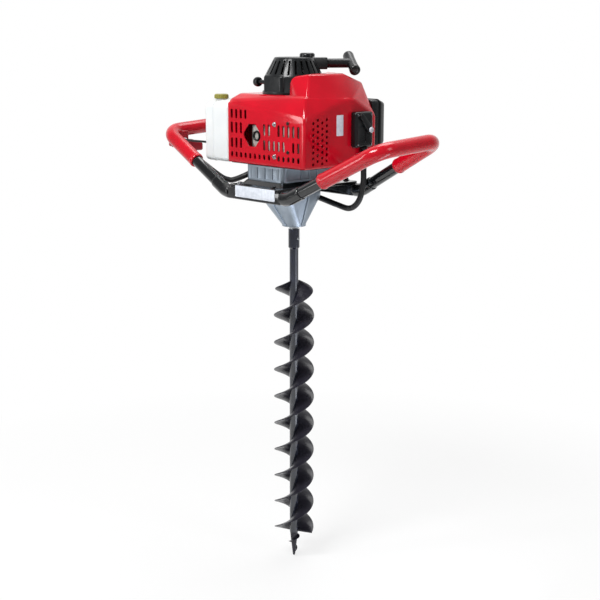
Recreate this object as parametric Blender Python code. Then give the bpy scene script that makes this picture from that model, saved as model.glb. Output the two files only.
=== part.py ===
"""Petrol engine earth auger.

A two-stroke engine with an upright crankshaft sits on a clutch housing and a reduction gear case,
carried in a handle frame with two tube loops.  The gear case turns a soil bit with two flights.

Lengths are metres and +Z is up.  The origin lies on the output axis at the height of the handle
tubes' middle run.  -Y is the front, where the silencer is, +X the cylinder side, -X the fuel tank
side and +Y the operator's side.
"""

import math

import bmesh
import bpy
from mathutils import Matrix, Vector
from mathutils.geometry import tessellate_polygon

# Fits
SEAT = 0.0003
RUN = 0.0005
FREE = 0.002

# Facets round a large, a middle-sized and a small circle, along a bend and across a corner
ROUND_BIG = 24
ROUND_MID = 16
ROUND_SMALL = 10
FILLET_STEPS = 4
CORNER_STEPS = 3

# Handle frame
TUBE_R = 0.014
TUBE_SIDES = 12
BAR_INSET = 0.013
BAR_SIDE = 0.028
BAR_CORNER = 0.003
LEG_FOOT_X = 0.108
LOOP_X = 0.366
LOOP_Y = 0.097
LOOP_Z = 0.126
LOOP_RISE = 0.012
FOOT_BEND_R = 0.060
LOOP_BEND_R = 0.042
GRIP_R = 0.0178
GRIP_SIDES = 12
GRIP_LONG_LEG = 0.178
GRIP_SHORT_LEG = 0.148

# Frame plate: a flat rim with a raised seat for the clutch housing
PLATE_T = 0.016
RIM_T = 0.006
PLATE_HALF_Y = 0.134
PLATE_CORNER = 0.012
PLATE_HOLE_R = 0.030
RISE_FOOT = 0.016
RISE_TOP = 0.004

# Throttle
THROTTLE_Y0 = -0.080
THROTTLE_Y1 = -0.044
THROTTLE_HALF_X = 0.021
THROTTLE_DROP = 0.043
THROTTLE_ROUND = 0.005
MOUTH_DEPTH = 0.018
MOUTH_ROOF = 0.004
LEVER_LENGTH = 0.062
LEVER_HALF_X = 0.0125
LEVER_SET_BACK = 0.008
LEVER_PIVOT_DROP = 0.033
LEVER_HEEL = 0.004
LEVER_SAG = 0.004
LEVER_FALL = 0.010
LEVER_ROOT = 0.009
LEVER_PAD = 0.015
LEVER_TIP = 0.010
LEVER_ROUND = 0.005
LEVER_PIN_R = 0.0025
PIN_INSET = 0.001
CABLE_R = 0.007
CABLE_LEAD = 0.009
CABLE_DROP = 0.024
CABLE_END_Y = 0.088
CABLE_STEP = 0.026
CABLE_SIDES = 8

# Gear train
MODULE = 0.00125
PINION_TEETH = 10
GEAR_TEETH = 50
STAGE1_W = 0.012
STAGE2_W = 0.016
GEAR_CLEAR = 0.003
COUNTER_R = 0.0042
PINION_SHAFT_R = 0.0042
OUTPUT_R = 0.0125
OUTPUT_NOSE_R = 0.010
BEARING_W = 0.009
SMALL_BEARING_R = 0.0125
BIG_BEARING_R = 0.0205
SEAL_W = 0.006

# Gear case
CASE_DEPTH = 0.089
CASE_HALF_X = 0.050
CASE_FRONT = 0.080
CASE_BACK = 0.058
CASE_COLLAR = 0.016
CASE_NOSE_R = 0.0265
CASE_CORNER = 0.030
RIB_T = 0.006
RIB_PROUD = 0.004
RIB_END = 0.001
LID_T = 0.010

# Clutch
HOUSING_H = 0.0354
HOUSING_HALF_X = 0.062
HOUSING_FRONT = 0.095
HOUSING_BACK = 0.077
HOUSING_CORNER = 0.012
HOUSING_FLOOR = 0.006
DRUM_R = 0.042
DRUM_WALL = 0.0035
DRUM_H = 0.027
SHOE_GAP = 0.0012
SHOE_H = 0.018
SHOE_SWEEP = math.radians(70.0)
SHOE_HUB = 0.55
SHOE_STEPS = 8

# Engine
BASE_T = 0.003
CRANKCASE_R = 0.046
CRANKCASE_H = 0.100
CRANKCASE_FLAT = 0.006
CRANK_R = 0.009
BORE_Z = 0.128
CYLINDER_R = 0.026
CYLINDER_SKIRT = 0.004
CYLINDER_SIDES = 12
FIN_R = 0.036
FIN_T = 0.003
FIN_COUNT = 5
HEAD_R = 0.0324
HEAD_T = 0.006
PLUG_R = 0.007
PLUG_HEX = 0.006
PLUG_LENGTH = 0.018
PLUG_CLEAR = 0.008
PLUG_CAP_R = 0.0105
PLUG_CAP_START = 0.008
PLUG_CAP_OVER = 0.006
PLUG_ARM = 0.026
FLYWHEEL_R = 0.060
FLYWHEEL_T = 0.006
VANE_R0 = 0.030
VANE_H = 0.028
VANE_T = 0.003
VANE_INSET = 0.001
VANE_COUNT = 8
CUP_R = 0.028
CUP_H = 0.022
CUP_WALL = 0.003

# Silencer
SILENCER_X0 = -0.060
SILENCER_X1 = 0.098
SILENCER_DEPTH = 0.040
SILENCER_Z0 = 0.084
SILENCER_Z1 = 0.168
SILENCER_ROUND = 0.010
OUTLET_X = -0.036
OUTLET_Z = 0.134
OUTLET_R = 0.011
OUTLET_WALL = 0.002
OUTLET_LENGTH = 0.0035

# Engine cover: a shell whose top slopes down to the front and the sides
COVER_X0 = -0.131
COVER_X1 = 0.138
COVER_FRONT = 0.098
COVER_BACK = 0.139
COVER_WALL = 0.0026
COVER_ROUND = 0.010
SHELF_Z = 0.232
SHELF_INSET = 0.022
FALL_FRONT_LEFT = 0.018
FALL_FRONT_FOLD = 0.034
FALL_FRONT_RIGHT = 0.052
FALL_SIDE_FOLD = 0.024
FALL_SIDE_TOP = 0.008
FALL_BACK_RIGHT = 0.050
FALL_BACK_LEFT = 0.030
FOLD_X = 0.010
FOLD_Y = -0.007
SIDE_TOP_Y = 0.058

# Hump over the cylinder side, and the well in it for the starter
HUMP_X = 0.044
HUMP_Z = 0.280
HUMP_BACK_Z = 0.258
HUMP_CREST = 0.003
HUMP_BROW = 0.007
HUMP_SINK = 0.004
HUMP_FRONT_LEFT = 0.039
HUMP_FRONT_RIGHT = 0.050
HUMP_FRONT_FOOT = 0.036
HUMP_REAR = 0.012
HUMP_RIDGE_Y = 0.060
HUMP_SLANT_FRONT = 0.040
HUMP_SLANT = 0.032
HUMP_SLANT_BACK = 0.036
HUMP_INSET = 0.001
WELL_CLEAR = 0.004
WELL_OVER = 0.030
AIR_HOLE_R = 0.056
AIR_HOLE_DEPTH = 0.012

# Openings of the cover
SLOT_W = 0.0075
SLOT_PITCH = 0.0165
SLOT_COLUMNS = 15
SLOT_X0 = -0.114
SLOT_ROWS = ((0.184, 0.022), (0.151, 0.027), (0.115, 0.024), (0.087, 0.013))
TOP_ROW_X1 = -0.060
HEX_X = -0.041
HEX_Z = 0.136
HEX_HALF_W = 0.030
HEX_HALF_H = 0.0265
HEX_FLAT = 0.009
HEX_MARGIN = 0.004
VENT_R = 0.0036
VENT_SIDES = 4
VENT_COLUMNS = 4
VENT_ROWS = 8
VENT_PITCH_Y = 0.0145
VENT_PITCH_Z = 0.0134
VENT_Y0 = -0.070
VENT_Z0 = 0.078

# Intake side
INTAKE_DEEP = 0.010
INTAKE_PROUD = 0.016
INTAKE_Y0 = 0.054
INTAKE_Y1 = 0.113
INTAKE_Z0 = 0.109
INTAKE_Z1 = 0.192
INTAKE_ROUND = 0.006
CHOKE_Y = 0.098
CHOKE_Z = 0.150
CHOKE_ARM = 0.044
CHOKE_ANGLE = math.radians(131.3)
CHOKE_HUB_R = 0.009
CHOKE_END_R = 0.006
CHOKE_T = 0.006
CHOKE_SIDES = 8
CLEANER_X0 = 0.024
CLEANER_X1 = 0.124
CLEANER_Z0 = 0.102
CLEANER_Z1 = 0.216
CLEANER_CASE_D = 0.028
CLEANER_COVER_D = 0.026
CLEANER_WALL = 0.003
CLEANER_ROUND = 0.010
CLEANER_DRAFT = 0.008
CLEANER_EDGE = 0.007
FILTER_BACK = 0.008
SCREW_KNOB_R = 0.012
SCREW_KNOB_H = 0.010
SCREW_SPINDLE_R = 0.0036
CARB_X = 0.068
CARB_HALF = 0.018
CARB_Y0 = 0.066
CARB_DEPTH = 0.044
CARB_EDGE = 0.003
CARB_BORE_R = 0.009
ARM_LENGTH = 0.016
ARM_HUB = 0.005
ARM_TIP = 0.004
ARM_T = 0.003

# Fuel tank
TANK_WIDTH = 0.092
TANK_FRONT = 0.094
TANK_BACK = 0.034
TANK_Z0 = 0.065
TANK_Z1 = 0.213
TANK_ROUND = 0.014
TANK_CROWN = 0.008
TANK_CROWN_IN = 0.020
TANK_CROWN_BACK = 0.030
NECK_X = -0.191
NECK_Y = -0.064
NECK_R = 0.014
NECK_H = 0.0085
NECK_ROOT = 0.012
CAP_WALL = 0.0026
CAP_H = 0.0125
CAP_EDGE = 0.002

# Recoil starter
STARTER_R = 0.070
STARTER_WALL = 0.0028
STARTER_SKIRT = 0.040
STARTER_TOP_R = 0.047
STARTER_TOP_Z = 0.317
STARTER_EDGE = 0.004
FLANGE_PROUD = 0.005
FLANGE_T = 0.006
POST_R = 0.0075
LOUVRE_COUNT = 12
LOUVRE_W = 0.005
LOUVRE_REACH = 0.014
LOUVRE_LOW = 0.006
LOUVRE_HIGH = 0.008
LOUVRE_FREE = math.radians(30.0)
PULLEY_R = 0.043
PULLEY_H = 0.013
PULLEY_GROOVE = 0.005
PULLEY_RIM = 0.003
HUB_R = 0.022
SPRING_TURNS = 3
SPRING_BAND = 0.0014
SPRING_H = 0.005
TOP_CAP_R = 0.018
TOP_CAP_H = 0.010
TOP_CAP_EDGE = 0.004
TOP_CAP_X = 0.022
TOP_CAP_Y = 0.022
PULL_ANGLE = math.radians(58.0)
PULL_Z = 0.302
GUIDE_R1 = 0.078
GUIDE_HALF_W = 0.014
GUIDE_HALF_H = 0.0145
GUIDE_ROUND = 0.005
ROPE_R = 0.002
ROPE_GAP = 0.001
STEM_R = 0.011
STEM_LENGTH = 0.050
CROSS_R = 0.012
CROSS_FLARE = 0.0132
CROSS_END_R = 0.0085
CROSS_EDGE = 0.006
CROSS_LENGTH = 0.086
CROSS_TILT = math.radians(25.0)

# Coil block on the front of the starter, and the stop button on its left
BLOCK_X0 = -0.034
BLOCK_X1 = 0.032
BLOCK_DEPTH = 0.030
BLOCK_H = 0.045
BLOCK_ROUND = 0.008
BUTTON_INSET = 0.008
BUTTON_RISE = 0.027
BUTTON_R = 0.0115
BUTTON_H = 0.016
BUTTON_NECK = 0.019
BUTTON_STEM_R = 0.005
BUTTON_ROOT = 0.010
BUTTON_TRAVEL = 0.004

# Soil bit
BIT_GAP = 0.007
BIT_SHAFT_R = 0.011
SHAFT_TAIL = 0.004
SOCKET_R = 0.0140
SOCKET_LENGTH = 0.046
SOCKET_TAPER = 0.004
SOCKET_END = 0.001
SPIGOT_R = 0.0095
SPIGOT_LENGTH = 0.042
FLIGHT_R = 0.050
FLIGHT_TOP = 0.128
FLIGHT_LENGTH = 0.654
FLIGHT_LEAD = 0.139
FLIGHT_LEAD_IN = 0.030
FLIGHT_ROOT_T = 0.005
FLIGHT_EDGE_T = 0.003
FLIGHT_START = math.radians(96.0)
FLIGHT_STEPS = 22
BLADE_ROOT = 0.08
PILOT_LENGTH = 0.0667
PILOT_R = 0.019
PILOT_TURNS = 1.5
PILOT_CORE_R = 0.010
PILOT_SCREW = 0.056
PILOT_ROOT_T = 0.004
PILOT_EDGE_T = 0.002
PILOT_AXIS_R = 0.001
PILOT_LEAD_IN = 0.010
PILOT_TAPER = 0.72
BIT_PIN_R = 0.004
BIT_PIN_OVERHANG = 0.003

# Sizes worked out from the ones above
BAR_Y = PLATE_HALF_Y - BAR_INSET
FLANGE_R = STARTER_R + FLANGE_PROUD
WELL_R = FLANGE_R + WELL_CLEAR
BLOCK_Y0 = -STARTER_R
BLOCK_Y1 = BLOCK_Y0 + BLOCK_DEPTH
BUTTON_Y = BLOCK_Y0 + BUTTON_INSET
LEG = Vector((LOOP_X - LEG_FOOT_X, BAR_Y - LOOP_Y, LOOP_Z + LOOP_RISE))
BAR_HALF = LEG_FOOT_X - FOOT_BEND_R * math.tan(LEG.angle(Vector((1.0, 0.0, 0.0))) / 2) - FREE
PLATE_HALF_X = BAR_HALF - FREE
PLATE_Z0 = TUBE_R + SEAT
PLATE_Z1 = PLATE_Z0 + PLATE_T
LID_Z1 = PLATE_Z0 - SEAT
LID_Z0 = LID_Z1 - LID_T
CASE_Z1 = LID_Z0 - SEAT
CASE_Z0 = CASE_Z1 - CASE_DEPTH
STAGE1_Z1 = CASE_Z1 - GEAR_CLEAR
STAGE1_Z0 = STAGE1_Z1 - STAGE1_W
STAGE2_Z1 = STAGE1_Z0 - GEAR_CLEAR
STAGE2_Z0 = STAGE2_Z1 - STAGE2_W
BEARING_TOP = STAGE2_Z0 - GEAR_CLEAR
SEAL_Z0 = CASE_Z0 + SEAT
SEAL_Z1 = SEAL_Z0 + SEAL_W
LOWER_BEARING_Z0 = SEAL_Z1 + SEAT
HOUSING_Z0 = PLATE_Z1 + SEAT
HOUSING_Z1 = HOUSING_Z0 + HOUSING_H
DRUM_Z0 = HOUSING_Z0 + HOUSING_FLOOR + FREE
BASE_Z0 = HOUSING_Z1 + SEAT
BASE_Z1 = BASE_Z0 + BASE_T
CRANKCASE_Z0 = BASE_Z1 + SEAT
CRANKCASE_Z1 = CRANKCASE_Z0 + CRANKCASE_H
FLYWHEEL_Z0 = CRANKCASE_Z1 + FREE
VANE_Z1 = FLYWHEEL_Z0 + FLYWHEEL_T + VANE_H
CUP_Z0 = VANE_Z1 + FREE
CYLINDER_X0 = CRANKCASE_R - CRANKCASE_FLAT + SEAT
PLUG_X1 = COVER_X1 - COVER_WALL - PLUG_CLEAR - PLUG_R
PLUG_X0 = PLUG_X1 - PLUG_LENGTH
HEAD_X0 = PLUG_X0 - SEAT - HEAD_T
FIN_PITCH = (HEAD_X0 - CYLINDER_X0 - CYLINDER_SKIRT) / FIN_COUNT
STARTER_Z0 = SHELF_Z + SEAT
STARTER_KNEE = STARTER_Z0 + STARTER_SKIRT
PULLEY_Z0 = PULL_Z - PULLEY_H / 2
SHOE_Z0 = DRUM_Z0 + DRUM_WALL + FREE
PITCH_PINION = MODULE * PINION_TEETH / 2
PITCH_GEAR = MODULE * GEAR_TEETH / 2
CENTRES = PITCH_PINION + PITCH_GEAR
COUNTER = Vector((0.0, -CENTRES, 0.0))
BIT_TOP = CASE_Z0 - BIT_GAP
BIT_PIN_Z = BIT_TOP - SOCKET_LENGTH / 2
SHAFT_END = BIT_TOP - FLIGHT_TOP - FLIGHT_LENGTH - SHAFT_TAIL
PULL = Vector((math.cos(PULL_ANGLE), math.sin(PULL_ANGLE), 0.0))
INTAKE_X0 = COVER_X1 - INTAKE_DEEP
INTAKE_X1 = COVER_X1 + INTAKE_PROUD
CLEANER_Y0 = COVER_BACK + SEAT
CLEANER_Y1 = CLEANER_Y0 + CLEANER_CASE_D
TALL = Matrix.Rotation(math.pi / 2, 4, "X")


def clear_scene():
    """Remove every object of the open scene."""
    for obj in list(bpy.data.objects):
        bpy.data.objects.remove(obj, do_unlink=True)


def finish(name, colour, roughness, metallic):
    """Make a Principled material."""
    mat = bpy.data.materials.new(name)
    mat.use_nodes = True
    shader = mat.node_tree.nodes["Principled BSDF"]
    shader.inputs["Base Color"].default_value = (*colour, 1.0)
    shader.inputs["Roughness"].default_value = roughness
    shader.inputs["Metallic"].default_value = metallic
    return mat


def new_object(name, bm):
    """Turn a bmesh into an object with outward faces."""
    bmesh.ops.recalc_face_normals(bm, faces=bm.faces)
    mesh = bpy.data.meshes.new(name)
    bm.to_mesh(mesh)
    bm.free()
    obj = bpy.data.objects.new(name, mesh)
    bpy.context.scene.collection.objects.link(obj)
    return obj


def dress(obj, mat, pivot=None):
    """Give a finished piece its material, its shading and, where it moves, an origin on its joint."""
    obj.data.materials.clear()
    obj.data.materials.append(mat)
    obj.data.shade_smooth()
    obj.data.set_sharp_from_angle(angle=math.radians(35.0))
    if pivot is not None:
        obj.data.transform(Matrix.Translation(-Vector(pivot)))
        obj.location = pivot
    return obj


def combine(obj, tools, operation="DIFFERENCE"):
    """Cut the tools out of a piece, or join them to it, and leave plain geometry."""
    for tool in tools:
        mod = obj.modifiers.new(operation.lower(), "BOOLEAN")
        mod.operation = operation
        mod.solver = "EXACT"
        mod.object = tool
    bpy.context.view_layer.update()
    graph = bpy.context.evaluated_depsgraph_get()
    mesh = bpy.data.meshes.new_from_object(obj.evaluated_get(graph))
    obj.modifiers.clear()
    obj.data = mesh
    for tool in tools:
        bpy.data.objects.remove(tool, do_unlink=True)
    return obj


def along(direction, origin):
    """Matrix that lays a shape's own Z on a direction, from an origin."""
    turn = Vector(direction).to_track_quat("Z", "Y").to_matrix().to_4x4()
    return Matrix.Translation(Vector(origin)) @ turn


def bored(radius, sides, gap=SEAT):
    """Radius of a faceted bore whose flats clear a shaft by a gap."""
    return (radius + gap) / math.cos(math.pi / sides)


def turned(name, profile, sides, place=None):
    """Turn an (r, z) profile round Z; a profile that leaves the axis at both ends is a closed ring."""
    bm = bmesh.new()
    rings = []
    for r, z in profile:
        if r < 1e-7:
            rings.append([bm.verts.new((0.0, 0.0, z))] * sides)
            continue
        turn = [2.0 * math.pi * k / sides for k in range(sides)]
        rings.append([bm.verts.new((r * math.cos(a), r * math.sin(a), z)) for a in turn])
    closed = profile[0][0] > 1e-7
    for lower, upper in zip(rings, rings[1:] + (rings[:1] if closed else [])):
        for k in range(sides):
            n = (k + 1) % sides
            corners = list(dict.fromkeys((lower[k], lower[n], upper[n], upper[k])))
            if len(corners) > 2:
                bm.faces.new(corners)
    if place is not None:
        bm.transform(place)
    return new_object(name, bm)


def rod(name, radius, z0, z1, sides, place=None):
    """Solid cylinder from z0 to z1."""
    return turned(name, [(0.0, z0), (radius, z0), (radius, z1), (0.0, z1)], sides, place)


def ring(name, bore, radius, z0, z1, sides, place=None):
    """Plain ring, such as a bearing."""
    return turned(name, [(bore, z0), (radius, z0), (radius, z1), (bore, z1)], sides, place)


def prism(name, outline, z0, z1, holes=(), place=None):
    """Extrude a flat outline with holes from z0 to z1."""
    bm = bmesh.new()
    loops = [list(outline)] + [list(hole) for hole in holes]
    low = [[bm.verts.new((x, y, z0)) for x, y in loop] for loop in loops]
    high = [[bm.verts.new((x, y, z1)) for x, y in loop] for loop in loops]
    for below, above in zip(low, high):
        for k, vert in enumerate(below):
            n = (k + 1) % len(below)
            bm.faces.new((vert, below[n], above[n], above[k]))
    caps = tessellate_polygon([[Vector((x, y, 0.0)) for x, y in loop] for loop in loops])
    for verts in (low, high):
        flat = [vert for loop in verts for vert in loop]
        for a, b, c in caps:
            bm.faces.new((flat[a], flat[b], flat[c]))
    if place is not None:
        bm.transform(place)
    return new_object(name, bm)


def box(name, x, y, z):
    """Box between (low, high) pairs."""
    outline = [(x[0], y[0]), (x[1], y[0]), (x[1], y[1]), (x[0], y[1])]
    return prism(name, outline, z[0], z[1])


def circle(radius, sides, centre=(0.0, 0.0)):
    """Points of a circle."""
    turn = [2.0 * math.pi * k / sides for k in range(sides)]
    return [(centre[0] + radius * math.cos(a), centre[1] + radius * math.sin(a)) for a in turn]


def rounded(x, y, radius, steps=CORNER_STEPS):
    """Rectangle outline with round corners between (low, high) pairs."""
    outline = []
    corners = ((x[1], y[1], 0), (x[0], y[1], 1), (x[0], y[0], 2), (x[1], y[0], 3))
    for cx, cy, quarter in corners:
        inner_x = cx - radius if quarter in (0, 3) else cx + radius
        inner_y = cy - radius if quarter in (0, 1) else cy + radius
        for k in range(steps + 1):
            a = math.pi / 2 * (quarter + k / steps)
            outline.append((inner_x + radius * math.cos(a), inner_y + radius * math.sin(a)))
    return outline


def hull(name, points, bevel=0.0, steps=2):
    """Convex body round points, with its edges rounded."""
    bm = bmesh.new()
    for point in points:
        bm.verts.new(point)
    result = bmesh.ops.convex_hull(bm, input=bm.verts)
    unused = [item for item in result["geom_interior"] if isinstance(item, bmesh.types.BMVert)]
    bmesh.ops.delete(bm, geom=unused, context="VERTS")
    bmesh.ops.dissolve_limit(bm, angle_limit=math.radians(1.0), verts=bm.verts, edges=bm.edges)
    if bevel > 0.0:
        sharp = [edge for edge in bm.edges if edge.calc_face_angle(0.0) > math.radians(20.0)]
        bmesh.ops.bevel(bm, geom=sharp, offset=bevel, segments=steps, profile=0.5, affect="EDGES",
                        clamp_overlap=True)
    return new_object(name, bm)


def filleted(points, radii):
    """Path through points with round bends; the end points have no bend."""
    path = [Vector(points[0])]
    for before, corner, after, radius in zip(points, points[1:], points[2:], radii):
        corner = Vector(corner)
        back = (Vector(before) - corner).normalized()
        ahead = (Vector(after) - corner).normalized()
        half = back.angle(ahead) / 2
        middle = corner + (back + ahead).normalized() * (radius / math.sin(half))
        start = (corner + back * (radius / math.tan(half)) - middle).normalized()
        end = (corner + ahead * (radius / math.tan(half)) - middle).normalized()
        for k in range(FILLET_STEPS + 1):
            path.append(middle + start.slerp(end, k / FILLET_STEPS) * radius)
    path.append(Vector(points[-1]))
    return path


def smooth_route(points, step):
    """Evenly spaced points on a smooth curve through hand-chosen points."""
    knots = [Vector(point) for point in points]
    knots = [2 * knots[0] - knots[1]] + knots + [2 * knots[-1] - knots[-2]]
    route = []
    for a, b, c, d in zip(knots, knots[1:], knots[2:], knots[3:]):
        count = max(1, round((c - b).length / step))
        for k in range(count):
            t = k / count
            route.append(0.5 * (2 * b + (c - a) * t + (2 * a - 5 * b + 4 * c - d) * t ** 2
                                + (3 * b - a - 3 * c + d) * t ** 3))
    return route + [knots[-2]]


def swept(name, path, radius, sides, bore=None):
    """Round bar along a path, or a sleeve where a bore is given."""
    bm = bmesh.new()
    tangents = []
    for k, point in enumerate(path):
        before = path[max(k - 1, 0)]
        after = path[min(k + 1, len(path) - 1)]
        tangents.append((after - before).normalized())
    side = tangents[0].orthogonal().normalized()
    shells = {radius: []}
    if bore:
        shells[bore] = []
    for point, tangent in zip(path, tangents):
        side = (side - tangent * side.dot(tangent)).normalized()
        across = tangent.cross(side)
        turn = [2.0 * math.pi * k / sides for k in range(sides)]
        spokes = [side * math.cos(a) + across * math.sin(a) for a in turn]
        for r, rings in shells.items():
            rings.append([bm.verts.new(point + r * spoke) for spoke in spokes])
    for rings in shells.values():
        for one, two in zip(rings, rings[1:]):
            for k in range(sides):
                n = (k + 1) % sides
                bm.faces.new((one[k], one[n], two[n], two[k]))
    for end in (0, -1):
        if bore:
            for k in range(sides):
                n = (k + 1) % sides
                outer, inner = shells[radius][end], shells[bore][end]
                bm.faces.new((outer[k], outer[n], inner[n], inner[k]))
        else:
            bm.faces.new(shells[radius][end])
    return new_object(name, bm)


def helix_blade(name, inner, outer, root_t, edge_t, z_top, length, lead, start, steps, lead_in):
    """Right-handed screw blade that runs down from z_top; outer gives the reach at a share of the length."""
    bm = bmesh.new()
    count = math.ceil(length / lead * steps)
    sections = []
    for k in range(count + 1):
        share = k / count
        z = z_top - length * share
        a = start - 2.0 * math.pi * length * share / lead
        grow = min(1.0, length * share / lead_in)
        reach = inner + (outer(share) - inner) * max(BLADE_ROOT, math.sin(grow * math.pi / 2))
        radial = Vector((math.cos(a), math.sin(a), 0.0))
        corners = ((inner, root_t / 2), (reach, edge_t / 2), (reach, -edge_t / 2), (inner, -root_t / 2))
        sections.append([bm.verts.new(radial * r + Vector((0.0, 0.0, z + dz))) for r, dz in corners])
    for one, two in zip(sections, sections[1:]):
        for k in range(4):
            n = (k + 1) % 4
            bm.faces.new((one[k], one[n], two[n], two[k]))
    bm.faces.new(sections[0])
    bm.faces.new(sections[-1])
    return new_object(name, bm)


def gear_outline(teeth, centre, phase):
    """Toothed outline with straight-sided teeth; phase is the direction of one tooth."""
    tip = MODULE * (teeth / 2 + 1.0)
    root = MODULE * (teeth / 2 - 1.25)
    pitch = 2.0 * math.pi / teeth
    outline = []
    for k in range(teeth):
        a = phase + k * pitch
        for r, share in ((root, -0.24), (tip, -0.10), (tip, 0.10), (root, 0.24)):
            angle = a + share * pitch
            outline.append((centre[0] + r * math.cos(angle), centre[1] + r * math.sin(angle)))
    return outline


def leg_ends(side, end):
    """Foot and loop corner of one leg; end is -1 at the front and 1 at the back."""
    corner_z = LOOP_Z + (LOOP_RISE if end > 0 else 0.0)
    return Vector((side * LEG_FOOT_X, end * BAR_Y, 0.0)), Vector((side * LOOP_X, end * LOOP_Y, corner_z))


def handle_path(side):
    """Centre line of one loop, from the front bar's end round to the rear bar's end."""
    (front_foot, front), (back_foot, back) = leg_ends(side, -1), leg_ends(side, 1)
    feet = [Vector((side * (BAR_HALF + SEAT), y, 0.0)) for y in (-BAR_Y, BAR_Y)]
    points = [feet[0], front_foot, front, back, back_foot, feet[1]]
    return filleted(points, (FOOT_BEND_R, LOOP_BEND_R, LOOP_BEND_R, FOOT_BEND_R))


def grip_path(side):
    """Centre line of a grip sleeve; the longer leg is at the front right and at the back left."""
    lengths = (GRIP_LONG_LEG, GRIP_SHORT_LEG) if side > 0 else (GRIP_SHORT_LEG, GRIP_LONG_LEG)
    corners, ends = [], []
    for end, length in zip((-1, 1), lengths):
        foot, corner = leg_ends(side, end)
        corners.append(corner)
        ends.append(corner.lerp(foot, length / (foot - corner).length))
    return filleted([ends[0], corners[0], corners[1], ends[1]], (LOOP_BEND_R, LOOP_BEND_R))


def build_handle_frame(steel, red):
    """Bars, loop tubes, grip sleeves and the plate that the engine is bolted to."""
    half = BAR_SIDE / 2
    for name, y in (("front_bar", -BAR_Y), ("rear_bar", BAR_Y)):
        outline = rounded((-half, half), (-half, half), BAR_CORNER, 2)
        dress(prism(name, outline, -BAR_HALF, BAR_HALF, (), along((1, 0, 0), (0.0, y, 0.0))), steel)
    for word, side in (("left", -1), ("right", 1)):
        dress(swept(word + "_loop_tube", handle_path(side), TUBE_R, TUBE_SIDES), steel)
        sleeve = swept(word + "_grip", grip_path(side), GRIP_R, GRIP_SIDES, bored(TUBE_R, GRIP_SIDES))
        dress(sleeve, red)
    outline = rounded((-PLATE_HALF_X, PLATE_HALF_X), (-PLATE_HALF_Y, PLATE_HALF_Y), PLATE_CORNER)
    plate = prism("frame_plate", outline, PLATE_Z0, PLATE_Z0 + RIM_T)
    rise = []
    for grow, z in ((RISE_FOOT, PLATE_Z0 + RIM_T / 2), (RISE_TOP, PLATE_Z1)):
        x, y = HOUSING_HALF_X + grow, (-HOUSING_FRONT - grow, HOUSING_BACK + grow)
        rise += [(*point, z) for point in rounded((-x, x), y, HOUSING_CORNER)]
    combine(plate, [hull("rise", rise)], "UNION")
    hole = rod("hole", PLATE_HOLE_R, PLATE_Z0 - FREE, PLATE_Z1 + FREE, ROUND_MID)
    dress(combine(plate, [hole]), steel)


def cross_run(y):
    """Point of the left loop's cross run at a place along Y."""
    return Vector((-LOOP_X, y, LOOP_Z + LOOP_RISE * (y + LOOP_Y) / (2.0 * LOOP_Y)))


def build_throttle(dark_red, steel, rubber):
    """Throttle housing under the left loop, its lever and pin."""
    top = cross_run((THROTTLE_Y0 + THROTTLE_Y1) / 2).z
    bottom = top - THROTTLE_DROP
    x = (-LOOP_X - THROTTLE_HALF_X, -LOOP_X + THROTTLE_HALF_X)
    corners = [(a, b, c) for a in x for b in (THROTTLE_Y0, THROTTLE_Y1) for c in (bottom, top)]
    housing = hull("throttle_housing", corners, THROTTLE_ROUND)
    groove = swept("groove", grip_path(-1), GRIP_R + SEAT, GRIP_SIDES)
    pivot = cross_run(THROTTLE_Y1 - LEVER_SET_BACK) - Vector((0.0, 0.0, LEVER_PIVOT_DROP))
    axis = along((1, 0, 0), pivot)
    gap = LEVER_HALF_X + RUN
    mouth = box("mouth", (-LOOP_X - gap, -LOOP_X + gap), (THROTTLE_Y1 - MOUTH_DEPTH, THROTTLE_Y1 + FREE),
                (bottom - FREE, top - GRIP_R - MOUTH_ROOF))
    pin_hole = rod("pin_hole", bored(LEVER_PIN_R, ROUND_SMALL), -THROTTLE_HALF_X - FREE,
                   THROTTLE_HALF_X + FREE, ROUND_SMALL, axis)
    dress(combine(housing, [groove, mouth, pin_hole]), dark_red)
    heel = pivot - Vector((0.0, LEVER_HEEL, 0.0))
    end = pivot + Vector((0.0, LEVER_LENGTH, -LEVER_FALL))
    shape = []
    for point, half in ((heel, LEVER_ROOT), (pivot.lerp(end, 0.45), LEVER_PAD), (end, LEVER_TIP)):
        for dx in (-LEVER_HALF_X, LEVER_HALF_X):
            shape += [point + Vector((dx, 0.0, dz - LEVER_SAG)) for dz in (half, -half)]
    lever = hull("throttle_lever", shape, LEVER_ROUND)
    bore = rod("bore", bored(LEVER_PIN_R, ROUND_SMALL, RUN), -THROTTLE_HALF_X, THROTTLE_HALF_X,
               ROUND_SMALL, axis)
    dress(combine(lever, [bore]), dark_red, pivot)
    half = THROTTLE_HALF_X - PIN_INSET
    dress(rod("throttle_pin", LEVER_PIN_R, -half, half, ROUND_SMALL, axis), steel)
    build_cable(rubber, Vector((x[1] + SEAT, (THROTTLE_Y0 + THROTTLE_Y1) / 2, top - CABLE_DROP)))


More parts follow.
